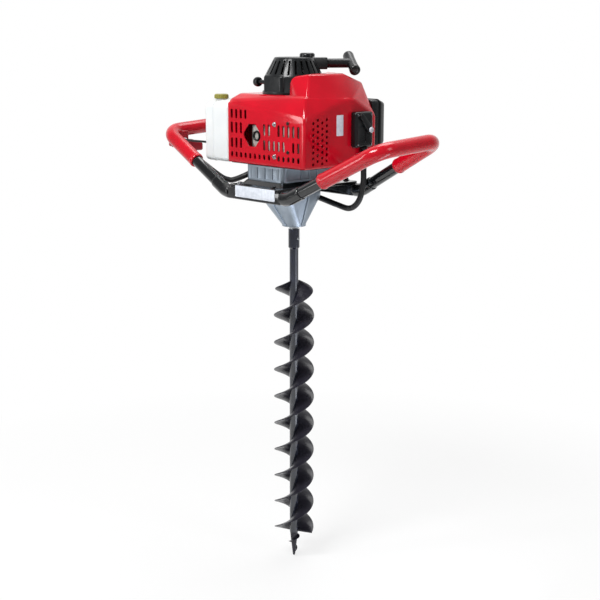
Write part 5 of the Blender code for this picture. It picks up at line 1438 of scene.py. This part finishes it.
@dataclass
class Intake:
    """Intake box with its choke lever, and the air cleaner behind it."""

    x: tuple[float, float] = (0.128, 0.154)
    y: tuple[float, float] = (0.054, 0.113)
    z: tuple[float, float] = (0.109, 0.192)
    box_edge: float = 0.006
    box_wall: float = 0.005
    screw_inset: float = 0.007
    pivot: tuple[float, float] = (0.098, 0.150)
    arm: float = 0.044
    arm_angle: float = 131.3
    arm_t: float = 0.006
    hub_r: float = 0.009
    end_r: float = 0.006
    cleaner_x: tuple[float, float] = (0.024, 0.124)
    cleaner_z: tuple[float, float] = (0.102, 0.216)
    cleaner_y: float = 0.1393
    case_d: float = 0.028
    cover_d: float = 0.026
    draft: float = 0.008
    wall: float = 0.003
    knob_r: float = 0.012
    knob_h: float = 0.010
    flutes: int = 18
    trim_h: float = 0.0014
    ribs: int = 5
    rib_pitch: float = 0.0155
    spindle_r: float = 0.0036

    def lid_and_screw(self, dresser: Dresser) -> None:
        """Drafted lid of the air cleaner and the screw that holds it.

        Args:
            dresser: gives the pieces their finishes.
        """
        (x0, x1), (z0, z1) = self.cleaner_x, self.cleaner_z
        lid0 = self.cleaner_y + self.case_d + SEAT
        lid1 = lid0 + self.cover_d
        points = box_points(self.cleaner_x, (lid0,), self.cleaner_z)
        points += box_points((x0 + self.draft, x1 - self.draft), (lid1,), (z0 + self.draft, z1 - self.draft))
        lid = hull("air_cleaner_lid", points, 0.007, 6)
        axis = along((0, 1, 0), ((x0 + x1) / 2, 0.0, (z0 + z1) / 2))
        cut(lid, [rod("hole", self.spindle_r + RUN, lid0 - FREE, lid1 + FREE, 32, axis)])
        dresser.settle(lid, NYLON, Body.FRAME, "air_cleaner_cover")
        start, knob = self.cleaner_y + self.wall + SEAT, lid1 + SEAT
        r, h, stem = self.knob_r, self.knob_h, self.spindle_r
        profile = [(0.0, start), (stem, start), (stem, knob), (r, knob), (r, knob + h * 0.7),
                   (r * 0.96, knob + h * 0.9), (r * 0.88, knob + h), (0.0, knob + h)]
        screw = turned("air_cleaner_knob", profile, 48, axis)
        turns = [axis @ Matrix.Rotation(math.tau * k / self.flutes, 4, "Z")
                 @ Matrix.Translation((r + 0.0006, 0.0, 0.0))
                 for k in range(self.flutes)]
        flutes = [rod("flute", 0.0013, knob + 0.001, knob + h + FREE, 12, turn) for turn in turns]
        cut(screw, [joined("flutes", flutes)])
        dresser.settle(screw, ZINC, Body.SCREW, "air_cleaner_screw")

    def box(self) -> Object:
        """Hollow intake box with a sunk panel on its face.

        Returns:
            The piece.
        """
        body = hull("intake_moulding", box_points(self.x, self.y, self.z), self.box_edge)
        (y0, y1), (z0, z1), wall = self.y, self.z, self.box_wall
        inside = rounded((y0 + wall, y1 - wall), (z0 + wall, z1 - wall), 0.004)
        hollow = prism("hollow", inside, self.x[0] - FREE, self.x[1] - wall, (), ACROSS)
        panel = rounded((y0 + 0.007, y1 - 0.026), (z0 + 0.012, z1 - 0.030), 0.004)
        pocket = prism("pocket", panel, self.x[1] - 0.0016, self.x[1] + 0.01, (), ACROSS)
        return eased(cut(body, [hollow, pocket]), 0.0006, 2, 45.0)

    def choke(self) -> Object:
        """Choke lever: a tapering arm with round ends.

        Returns:
            The piece.
        """
        angle = math.radians(self.arm_angle)
        tip = Vector(self.pivot) + self.arm * Vector((math.cos(angle), math.sin(angle)))
        base = self.x[1] + SEAT
        shape = [(base + dx, y, z) for centre, r in ((self.pivot, self.hub_r), (tip, self.end_r))
                 for y, z in circle(r, 32, centre) for dx in (0.0, self.arm_t)]
        return eased(hull("choke_arm", shape), 0.0012, 3)

    def build(self, dresser: Dresser) -> None:
        """Build and dress the intake and the air cleaner.

        Args:
            dresser: gives the pieces their finishes.
        """
        dresser.settle(self.box(), NYLON, Body.FRAME, "intake_box")
        dresser.settle(self.choke(), NYLON, Body.CHOKE, "choke_lever")
        cap = self.x[1] + SEAT + self.arm_t + 0.0002
        profile = [(0.0, 0.0), (0.0066, 0.0), (0.0066, 0.0016), (0.0056, 0.0030), (0.0036, 0.0038),
                   (0.0, 0.0041)]
        dresser.settle(turned("choke_pivot_cap", profile, 40, along((1, 0, 0), (cap, *self.pivot))), LABEL,
                       Body.CHOKE)
        (x0, x1), (z0, z1), y0 = self.cleaner_x, self.cleaner_z, self.cleaner_y
        inset = self.screw_inset
        for z in (self.z[0] + inset, self.z[1] - inset):
            for y in (self.y[0] + inset, self.y[1] - inset):
                dresser.settle(socket_screw((self.x[1], y, z), (1, 0, 0), 0.0022, 0.0014), ZINC)
        for k in range(self.ribs):
            z = z0 + 0.026 + k * self.rib_pitch
            outline = rounded((y0 + 0.006, y0 + self.case_d - 0.004), (z - 0.0016, z + 0.0016), 0.0014, 4)
            for face, near, far in (("l", x0 - self.trim_h, x0 - TRIM), ("r", x1 + TRIM, x1 + self.trim_h)):
                dresser.settle(prism(f"cleaner_rib_{face}{k}", outline, near, far, (), ACROSS), NYLON)
        y1 = y0 + self.case_d
        rim, hole = (rounded((x0 - grow, x1 + grow), (z0 - grow, z1 + grow), r)
                     for grow, r in ((self.trim_h, 0.0114), (-TRIM, 0.0099)))
        dresser.settle(prism("cleaner_seam", rim, -y1 - TRIM, -y1 + 0.0024, [hole], TALL), NYLON)
        case = prism("air_cleaner_base", rounded(self.cleaner_x, self.cleaner_z, 0.010), -y1, -y0, (), TALL)
        pocket = rounded((x0 + self.wall, x1 - self.wall), (z0 + self.wall, z1 - self.wall), 0.007)
        cut(case, [prism("hollow", pocket, -y1 - FREE, -y0 - self.wall, (), TALL)])
        dresser.settle(eased(case, 0.0008, 2), NYLON, Body.FRAME, "air_cleaner_case")
        self.lid_and_screw(dresser)
        dresser.repaint(FOAM, "filter_element")


@dataclass
class FuelTank:
    """Blow-moulded white tank on the left with an olive screw cap."""

    x: tuple[float, float] = (-0.2233, -0.1313)
    y: tuple[float, float] = (-0.094, 0.034)
    z: tuple[float, float] = (0.065, 0.213)
    crown: float = 0.008
    crown_in: float = 0.020
    crown_back: float = 0.030
    edge_r: float = 0.014
    seam_w: float = 0.0016
    seam_h: float = 0.0006
    neck: tuple[float, float] = (-0.191, -0.064)
    neck_r: float = 0.014
    neck_h: float = 0.0085
    cap_r: float = 0.0169
    cap_h: float = 0.0125
    cap_ribs: int = 24

    def corners(self, grow: float) -> Points:
        """Corners of the tank.

        Args:
            grow: how far they are pushed out.

        Returns:
            The corners.
        """
        (x0, x1), (y0, y1), (z0, z1) = self.x, self.y, self.z
        x0, x1, y0, y1, z0, z1 = x0 - grow, x1 + grow, y0 - grow, y1 + grow, z0 - grow, z1 + grow
        crown = box_points((x0 + self.crown_in, x1), (y0 + self.crown_in, y1 - self.crown_back), (z1,))
        return box_points((x0, x1), (y0, y1), (z0, z1 - self.crown)) + crown

    def tank(self) -> Object:
        """Rounded tank body with a neck on top.

        Returns:
            The piece.
        """
        body = hull("fuel_tank_moulding", self.corners(0.0), self.edge_r, 8)
        z1 = self.z[1]
        neck = rod("neck", self.neck_r, z1 - 0.012, z1 + self.neck_h, 48,
                   Matrix.Translation((*self.neck, 0.0)))
        return shaded(cut(body, [neck], "UNION"), 40.0)

    def seam(self) -> Object:
        """Raised parting line round the tank, where the mould halves met.

        Returns:
            The piece.
        """
        middle = sum(self.x) / 2 - 0.012
        ridge = hull("fuel_tank_seam", self.corners(self.seam_h), self.edge_r, 8)
        half = self.seam_w / 2
        slab = hull("slab", box_points((middle - half, middle + half), (-0.2, 0.2), (-0.1, 0.4)))
        return cut(ridge, [slab], "INTERSECT")

    def cap(self) -> Object:
        """Ribbed screw cap, hollow underneath.

        Returns:
            The piece.
        """
        low, roof, top = self.z[1] + FREE, self.z[1] + self.neck_h + SEAT, self.z[1] + SEAT + self.cap_h
        inner = self.neck_r + SEAT
        profile = [(inner, low), (self.cap_r, low), (self.cap_r, top - 0.002),
                   (self.cap_r - 0.0006, top - 0.0008), (self.cap_r - 0.002, top), (0.0, top), (0.0, roof),
                   (inner, roof)]
        at = Matrix.Translation((*self.neck, 0.0))
        shell = turned("fuel_cap_moulding", profile, 72, at)
        ribs = []
        outline = rounded((self.cap_r - 0.0004, self.cap_r + 0.0007), (-0.0012, 0.0012), 0.0005, 3)
        for k in range(self.cap_ribs):
            turn = at @ Matrix.Rotation(math.tau * k / self.cap_ribs, 4, "Z")
            ribs.append(prism("rib", outline, low + 0.0004, top - 0.003, (), turn))
        return shaded(cut(shell, ribs, "UNION"))

    def build(self, dresser: Dresser) -> None:
        """Build and dress the tank.

        Args:
            dresser: gives the pieces their finishes.
        """
        dresser.settle(self.tank(), TANK, Body.FRAME, "fuel_tank")
        dresser.settle(self.seam(), TANK)
        dresser.settle(self.cap(), CAP, Body.FUEL_CAP, "fuel_cap")


@dataclass
class Starter:
    """Recoil starter with its T-grip, coil block and stop button."""

    z0: float = 0.2323
    radius: float = 0.070
    wall: float = 0.0028
    skirt: float = 0.040
    top_r: float = 0.047
    top_z: float = 0.317
    edge: float = 0.004
    flange_r: float = 0.075
    flange_t: float = 0.006
    post_r: float = 0.0075
    post_z: float = 0.2935
    louvres: int = 24
    louvre_w: float = 0.005
    louvre_cut: float = 0.014
    pull_angle: float = math.radians(58.0)
    pull_z: float = 0.302
    guide_r: float = 0.078
    guide_half: tuple[float, float] = (0.0145, 0.014)
    pulley_r: float = 0.043
    rope_r: float = 0.002
    stem_r: float = 0.011
    stem_length: float = 0.050
    cross_r: float = 0.012
    cross_flare: float = 0.0132
    cross_end_r: float = 0.0085
    cross_edge: float = 0.006
    cross_length: float = 0.086
    cross_tilt: float = math.radians(25.0)
    block_x: tuple[float, float] = (-0.034, 0.032)
    block_y: tuple[float, float] = (-0.070, -0.040)
    block_h: float = 0.045
    block_round: float = 0.008
    button_y: float = -0.062
    button_rise: float = 0.027
    button_r: float = 0.0115
    button_h: float = 0.016
    button_neck: float = 0.019
    button_stem_r: float = 0.005
    button_root: float = 0.010
    travel: float = 0.004
    crown_r: float = 0.018
    crown_h: float = 0.0097
    crown_at: tuple[float, float] = (0.022, 0.022)

    @property
    def pull(self) -> Vector:
        """Direction in which the rope is pulled."""
        return Vector((math.cos(self.pull_angle), math.sin(self.pull_angle), 0.0))

    @property
    def button_at(self) -> Vector:
        """Point of the stop button's axis in the middle plane of the starter."""
        return Vector((0.0, self.button_y, self.z0 + self.button_rise))

    def outer(self, z: float) -> float:
        """Outer radius of the dome at a height."""
        knee = self.z0 + self.skirt
        return self.radius + (self.top_r - self.radius) * max(0.0, (z - knee) / (self.top_z - knee))

    def coil_block(self) -> Object:
        """Closed block for the ignition coil, flat where it stands on the cover.

        Returns:
            The piece.
        """
        low, high = self.z0 - self.block_round, self.z0 + self.block_h
        block = hull("coil_block", box_points(self.block_x, self.block_y, (low, high)), self.block_round, 6)
        far = self.flange_r
        under = hull("under", box_points((-far, far), (-far, 0.0), (self.z0 - 0.02, self.z0)))
        return cut(block, [under])

    def housing(self) -> Object:
        """Dome with louvres, a rope guide and the coil block.

        Returns:
            The piece.
        """
        knee, wall, top = self.z0 + self.skirt, self.wall, self.top_z
        profile = [(0.0, top), (self.top_r - self.edge, top),
                   (self.top_r - self.edge * 0.3, top - self.edge * 0.2), (self.top_r, top - self.edge * 0.5),
                   (self.radius - 0.0012, knee + 0.0022), (self.radius, knee - 0.0015),
                   (self.radius, self.z0 + self.flange_t), (self.flange_r - 0.001, self.z0 + self.flange_t),
                   (self.flange_r, self.z0 + self.flange_t - 0.001), (self.flange_r, self.z0),
                   (self.radius - wall, self.z0), (self.radius - wall, knee - wall / 2),
                   (self.top_r - wall, top - wall), (self.post_r, top - wall), (self.post_r, self.post_z),
                   (0.0, self.post_z)]
        dome = turned("starter_dome", profile, 96)
        axis = along(self.pull, (0.0, 0.0, self.pull_z))
        half_h, half_w = self.guide_half
        guide = prism("guide", rounded((-half_h, half_h), (-half_w, half_w), 0.005, 6), self.pulley_r + FREE,
                      self.guide_r, (), axis)
        cut(dome, [guide, self.coil_block()], "UNION")
        inner, clear = self.radius - wall - SEAT, self.z0 + self.block_h + FREE
        inside = turned("inside", [(0.0, self.z0 - FREE), (inner, self.z0 - FREE), (inner, knee - wall),
                                   (self.outer(clear) - wall - FREE, clear), (0.0, clear)], 96)
        tools = [inside, rod("rope_way", self.rope_r + 0.001, self.pulley_r / 2, self.guide_r + FREE, 24,
                             axis)]
        low, high = knee + 0.006, top - 0.008
        middle, half = self.outer((low + high) / 2), self.louvre_w / 2
        inside_r, outside_r = middle - self.louvre_cut, middle + self.louvre_cut
        slits = []
        for k in range(self.louvres):
            a = self.pull_angle + math.tau * (k + 0.5) / self.louvres
            if abs(math.remainder(a - self.pull_angle, math.tau)) < math.radians(30.0):
                continue
            outline = [(inside_r, -half), (outside_r, -half), (outside_r, half), (inside_r, half)]
            slits.append(prism("louvre", outline, low, high, (), Matrix.Rotation(a, 4, "Z")))
        tools.append(joined("louvres", slits))
        way = along((-1, 0, 0), (self.block_x[0], self.button_y, self.z0 + self.button_rise))
        tools.append(rod("button_way", self.button_stem_r + RUN, -self.button_root - self.travel - FREE,
                         self.button_neck - self.travel, 32, way))
        return eased(cut(dome, tools), 0.0006, 2, 50.0)

    def button(self) -> Object:
        """Stop button: a rounded knob on a thin stem.

        Returns:
            The piece.
        """
        root, start = -self.block_x[0] - self.button_root, -self.block_x[0] + self.button_neck
        r, h = self.button_r, self.button_h
        profile = [(0.0, root), (self.button_stem_r, root), (self.button_stem_r, start), (r * 0.8, start),
                   (r * 0.93, start + h * 0.08), (r * 0.99, start + h * 0.22), (r, start + h * 0.36),
                   (r * 0.97, start + h * 0.58), (r * 0.87, start + h * 0.79), (r * 0.68, start + h * 0.92),
                   (r * 0.4, start + h * 0.985), (0.0, start + h)]
        return turned("stop_knob", profile, 48, along((-1, 0, 0), self.button_at))

    def grip(self) -> Object:
        """T-grip: a stem and a crossbar with flared, rounded ends.

        Returns:
            The piece.
        """
        start = self.guide_r + SEAT
        axis = along(self.pull, (0.0, 0.0, self.pull_z))
        cross_at = start + self.stem_length + self.cross_r
        stem = rod("starter_handle", self.stem_r, start, cross_at, 48, axis)
        level = Vector((self.pull.y, -self.pull.x, 0.0)) * math.cos(self.cross_tilt)
        across = level - Vector((0.0, 0.0, math.sin(self.cross_tilt)))
        centre = self.pull * cross_at + Vector((0.0, 0.0, self.pull_z))
        half, r, flare, edge = self.cross_length / 2, self.cross_r, self.cross_flare, self.cross_edge
        side = [(0.0, half), (self.cross_end_r * 0.6, half - 0.0003), (self.cross_end_r, half - 0.0012),
                (flare * 0.86, half - edge * 0.42), (flare * 0.97, half - edge * 0.75),
                (flare, half - edge * 1.1), (r + (flare - r) * 0.5, half * 0.62), (r, half * 0.36)]
        profile = [(radius, -z) for radius, z in side] + side[::-1]
        cut(stem, [turned("cross", profile, 48, along(across, centre))], "UNION")
        hole = rod("rope_hole", self.rope_r + SEAT, start - FREE, start + self.stem_length / 2, 24, axis)
        return eased(cut(stem, [hole]), 0.0014, 3, 50.0)

    def rope(self) -> Object:
        """Rope from the pulley into the grip, with rings along it so that it can draw out.

        Returns:
            The piece.
        """
        start, end = self.pulley_r + RUN, self.guide_r + self.stem_length / 2
        lift = Vector((0.0, 0.0, self.pull_z))
        count = 48
        path = [lift + self.pull * (start + (end - start) * k / count) for k in range(count + 1)]
        return swept("starter_cord_run", path, [self.rope_r] * len(path), 16)

    def build(self, dresser: Dresser) -> None:
        """Build and dress the starter.

        Args:
            dresser: gives the pieces their finishes.
        """
        dresser.settle(self.housing(), NYLON, Body.FRAME, "starter_housing")
        top = self.top_z + SEAT
        r, high = self.crown_r, top + self.crown_h
        profile = [(0.0, top), (r, top), (r, high - 0.0040), (r - 0.0012, high - 0.0019),
                   (r - 0.0040, high - 0.0003), (0.0, high)]
        cap = turned("starter_crown_cap", profile, 48, Matrix.Translation((*self.crown_at, 0.0)))
        dresser.settle(cap, NYLON, Body.FRAME, "starter_top_cap")
        dresser.settle(self.button(), NYLON, Body.STOP, "stop_button")
        dresser.settle(self.grip(), NYLON, Body.STARTER_GRIP, "starter_grip")
        rope = self.rope()
        rope.data.materials.append(dresser.material(CORD))
        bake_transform(rope)
        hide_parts("starter_rope")
        LOG.info("%s is drawn out by %s", rope.name, Body.STARTER_GRIP.value)
        for k in range(3):
            a = self.pull_angle + math.radians(60.0 + 60.0 * k)
            spot = Vector((math.cos(a), math.sin(a), 0.0)) * (self.radius + 0.0024)
            at = spot + Vector((0.0, 0.0, self.z0 + self.flange_t))
            dresser.settle(socket_screw(at, (0, 0, 1), 0.0022, 0.0022), ZINC)
        dresser.repaint(NYLON, "starter_pulley")
        dresser.repaint(ZINC, "recoil_spring")


@dataclass
class SoilBit:
    """Two-start soil bit with its socket, pin and pilot screw."""

    top: float = -0.0923
    shaft_r: float = 0.011
    shaft_tail: float = 0.004
    socket_r: float = 0.0140
    socket_length: float = 0.046
    spigot_r: float = 0.0095
    spigot_length: float = 0.042
    flight_r: float = 0.050
    flight_top: float = 0.128
    flight_length: float = 0.654
    lead: float = 0.139
    lead_in: float = 0.030
    start: float = math.radians(96.0)
    root_t: float = 0.005
    edge_t: float = 0.003
    pilot_length: float = 0.0667
    pilot_r: float = 0.019
    pilot_core_r: float = 0.010
    pilot_screw: float = 0.056
    pilot_turns: float = 1.5
    pin_r: float = 0.004

    @property
    def shaft_end(self) -> float:
        """Height at which the shaft meets the pilot screw."""
        return self.top - self.flight_top - self.flight_length - self.shaft_tail

    def blade(self, name: str, inner: float, outer: Callable[[float], float], sizes: tuple[float, float],
              top: float, run: tuple[float, float], lead_in: float, start: float) -> Object:
        """Right-handed screw blade that runs down.

        Args:
            name: object name.
            inner: radius of its root.
            outer: radius of its rim at a share of its length.
            sizes: thickness at the root and at the rim.
            top: height of its start.
            run: length and lead.
            lead_in: length over which it grows to its full width.
            start: direction of its start.

        Returns:
            The piece.
        """
        (length, lead), (root, rim) = run, (size / 2 for size in sizes)
        steps_a_turn, least = 72, 0.08
        count = math.ceil(length / lead * steps_a_turn)
        bm = bmesh.new()
        rows = []
        for k in range(count + 1):
            share = k / count
            a = start - math.tau * length * share / lead
            grow = min(1.0, length * share / lead_in)
            reach = inner + (outer(share) - inner) * max(least, math.sin(grow * math.pi / 2))
            radial = Vector((math.cos(a), math.sin(a), 0.0))
            upper = [(inner, root), (inner + (reach - inner) * 0.5, (root + rim) / 2), (reach - rim, rim),
                     (reach - rim * 0.3, rim * 0.75)]
            shape = upper + [(reach, 0.0)] + [(r, -dz) for r, dz in reversed(upper)]
            z = top - length * share
            rows.append([bm.verts.new(radial * r + Vector((0.0, 0.0, z + dz))) for r, dz in shape])
        for one, two in zip(rows, rows[1:]):
            bridge(bm, one, two)
        bm.faces.new(rows[0])
        bm.faces.new(rows[-1])
        return shaded(solid(name, bm), 45.0)

    def build(self, dresser: Dresser) -> None:
        """Build and dress the bit.

        Args:
            dresser: gives the pieces their finishes.
        """
        bore, neck = self.spigot_r + RUN, self.top - self.socket_length
        bore_end = self.top - self.spigot_length - 0.001
        profile = [(0.0, bore_end), (bore, bore_end), (bore, self.top), (self.socket_r - 0.0008, self.top),
                   (self.socket_r, self.top - 0.0008), (self.socket_r, neck), (self.shaft_r, neck - 0.004),
                   (self.shaft_r, self.shaft_end), (0.0, self.shaft_end)]
        shaft = turned("bit_stem", profile, 48)
        across = along((1, 0, 0), (0.0, 0.0, self.top - self.socket_length / 2))
        cut(shaft, [rod("pin_hole", self.pin_r + SEAT, -0.03, 0.03, 32, across)])
        # The shaft's cool blue tint is a painted reflection.
        dresser.settle(shaft, BAR_ENAMEL, Body.AUGER, "bit_shaft")
        half = self.socket_r + 0.003
        pin = turned("bit_cross_pin", [(0.0, -half), (self.pin_r * 0.8, -half), (self.pin_r, -half + 0.0008),
                                       (self.pin_r, half - 0.0008), (self.pin_r * 0.8, half), (0.0, half)],
                     32, across)
        dresser.settle(pin, ZINC, Body.AUGER, "bit_pin")
        for node, turn in (("flight_a", 0.0), ("flight_b", math.pi)):
            flight = self.blade(f"{node}_blade", self.shaft_r - 0.0004, lambda share: self.flight_r,
                                (self.root_t, self.edge_t), self.top - self.flight_top,
                                (self.flight_length, self.lead), self.lead_in, self.start + turn)
            dresser.settle(flight, BIT_ENAMEL, Body.AUGER, node)
        begin = self.shaft_end - SEAT
        tip, r = begin - self.pilot_length, self.pilot_core_r
        core = turned("pilot_point", [(0.0, begin), (r, begin), (r * 0.8, begin - self.pilot_length * 0.3),
                                      (r * 0.3, tip + self.pilot_length * 0.06), (0.0, tip)], 40)
        thread = self.blade("thread", 0.001, lambda share: self.pilot_r * (1.0 - 0.72 * share),
                            (0.004, 0.002), begin - 0.004,
                            (self.pilot_screw, self.pilot_screw / self.pilot_turns), 0.010, self.start)
        dresser.settle(cut(core, [thread], "UNION"), BIT_ENAMEL, Body.AUGER, "pilot_screw")


@dataclass(frozen=True)
class Studio:
    """Camera, lamps, floor and world."""

    azimuth: float = math.radians(46.5)
    distance: float = 3.0
    height: float = 0.390
    aim_z: float = -0.271
    lens: float = 74.8
    shift_x: float = 0.010
    floor_z: float = -0.9463
    floor_r: float = 14.0
    shadow_r: tuple[float, float] = (1.0, 1.8)
    shadow_share: float = 0.72
    ambient: float = 0.27
    lamp_aim_z: float = 0.05

    def camera(self) -> None:
        """Place the camera at the photograph's angle."""
        data = bpy.data.cameras.new("camera")
        data.lens = self.lens
        data.sensor_width = 36.0
        data.shift_x = self.shift_x
        data.clip_end = 60.0
        cam = bpy.data.objects.new("camera", data)
        cam.location = (math.sin(self.azimuth) * self.distance, -math.cos(self.azimuth) * self.distance,
                        self.height)
        aim = Vector((0.0, 0.0, self.aim_z)) - Vector(cam.location)
        cam.rotation_euler = aim.to_track_quat("-Z", "Y").to_euler()
        bpy.context.scene.collection.objects.link(cam)
        bpy.context.scene.camera = cam

    def lamp(self, name: str, turn: float, rise: float, far: float, size: tuple[float, float], power: float,
             tint: str = "#ffffff") -> None:
        """Area lamp aimed at the engine.

        Args:
            name: object name.
            turn: degrees to the right of the camera, seen from the object.
            rise: degrees above the horizon.
            far: distance from the engine.
            size: width and height.
            power: watts.
            tint: colour of the light.
        """
        data = bpy.data.lights.new(name, "AREA")
        data.color = linear(tint)[:3]
        data.shape = "RECTANGLE"
        data.size, data.size_y = size
        data.energy = power
        obj = bpy.data.objects.new(name, data)
        a, e = self.azimuth + math.radians(turn), math.radians(rise)
        back = Vector((math.sin(a) * math.cos(e), -math.cos(a) * math.cos(e), math.sin(e)))
        obj.location = Vector((0.0, 0.0, self.lamp_aim_z)) + back * far
        obj.rotation_euler = (-back).to_track_quat("-Z", "Y").to_euler()
        bpy.context.scene.collection.objects.link(obj)

    def seen(self, tree: bpy.types.NodeTree, place: bpy.types.NodeSocket) -> bpy.types.NodeSocket:
        """Share of the white backdrop: full for the camera, and behind the object for mirrors and glass too.

        Args:
            tree: node tree of the floor or the world.
            place: direction or position that is looked at.

        Returns:
            Socket with a share from nought to one.
        """
        path = add(tree, "ShaderNodeLightPath").outputs
        mirrored = add(tree, "ShaderNodeMath", {0: path["Is Glossy Ray"], 1: path["Is Transmission Ray"]},
                       operation="MAXIMUM")
        way = add(tree, "ShaderNodeVectorMath", {0: place}, operation="NORMALIZE")
        behind = add(tree, "ShaderNodeVectorMath",
                     {0: way.outputs[0], 1: (-math.sin(self.azimuth), math.cos(self.azimuth), 0.0)},
                     operation="DOT_PRODUCT")
        backdrop = add(tree, "ShaderNodeMapRange", {"Value": behind.outputs["Value"], "From Min": 0.1,
                                                    "From Max": 0.7})
        shown = add(tree, "ShaderNodeMath", {0: mirrored.outputs[0], 1: backdrop.outputs[0]},
                    operation="MULTIPLY")
        return add(tree, "ShaderNodeMath", {0: path["Is Camera Ray"], 1: shown.outputs[0]},
                   operation="MAXIMUM").outputs[0]

    def world(self) -> None:
        """White for the camera and for reflections of the backdrop, softer as a light."""
        world = bpy.data.worlds.new("studio")
        world.use_nodes = True
        tree = world.node_tree
        tree.nodes.clear()
        dim = add(tree, "ShaderNodeBackground", {"Color": linear("#f4f6f8"), "Strength": self.ambient})
        white = add(tree, "ShaderNodeBackground", {"Color": linear("#ffffff"), "Strength": 1.0})
        way = add(tree, "ShaderNodeTexCoord").outputs["Generated"]
        mix = add(tree, "ShaderNodeMixShader", {0: self.seen(tree, way), 1: dim.outputs[0],
                                                2: white.outputs[0]})
        add(tree, "ShaderNodeOutputWorld", {"Surface": mix.outputs[0]})
        bpy.context.scene.world = world

    def floor(self) -> None:
        """Pale floor that keeps a soft shadow."""
        bm = bmesh.new()
        bmesh.ops.create_circle(bm, cap_ends=True, segments=96, radius=self.floor_r)
        bm.transform(Matrix.Translation((0.0, 0.0, self.floor_z)))
        floor = solid("floor", bm)
        # Matt painted board: pale and without a highlight, so that only the shadow shows on it.
        mat = bpy.data.materials.new("pale_floor")
        mat.use_nodes = True
        tree = mat.node_tree
        shader = tree.nodes["Principled BSDF"]
        shader.inputs["Base Color"].default_value = linear("#f3f3f2")
        shader.inputs["Roughness"].default_value = 0.9
        shader.inputs["Specular IOR Level"].default_value = 0.0
        place = add(tree, "ShaderNodeTexCoord").outputs["Object"]
        far = add(tree, "ShaderNodeVectorMath", {0: place}, operation="LENGTH")
        near, away = self.shadow_r
        fade = add(tree, "ShaderNodeMapRange", {"Value": far.outputs["Value"], "From Min": near,
                                                "From Max": away, "To Min": self.shadow_share, "To Max": 1.0})
        share = add(tree, "ShaderNodeMath", {0: self.seen(tree, place), 1: fade.outputs[0]},
                    operation="MULTIPLY")
        glow = add(tree, "ShaderNodeEmission", {"Color": linear("#ffffff"), "Strength": 1.0})
        mix = add(tree, "ShaderNodeMixShader", {0: share.outputs[0], 1: shader.outputs[0],
                                                2: glow.outputs[0]})
        tree.links.new(mix.outputs[0], tree.nodes["Material Output"].inputs["Surface"])
        floor.data.materials.append(mat)

    def build(self) -> None:
        """Set up the whole studio."""
        bpy.context.scene.view_settings.view_transform = "Standard"
        self.camera()
        self.lamp("key", -38.0, 48.0, 3.0, (1.3, 0.9), 84.0)
        self.lamp("fill", 52.0, 24.0, 3.2, (0.9, 1.4), 10.0)
        self.lamp("low", 54.0, -36.0, 1.10, (0.16, 0.66), 2.4, "#e6ecfa")
        self.lamp("strip", -75.0, 12.0, 2.6, (0.35, 1.8), 16.0)
        self.lamp("top", 150.0, 70.0, 2.8, (1.8, 1.8), 44.0)
        self.world()
        self.floor()


def main() -> None:
    """Build every sub-assembly in order."""
    logging.basicConfig(level=logging.INFO, format="%(message)s")
    dresser = Dresser()
    for part in (HandleFrame(), Throttle(), GearBox(), EngineCover(), Intake(), FuelTank(), Starter(),
                 SoilBit()):
        part.build(dresser)
        LOG.info("%s is built", type(part).__name__)
    Studio().build()


if __name__ == "__main__":
    main()
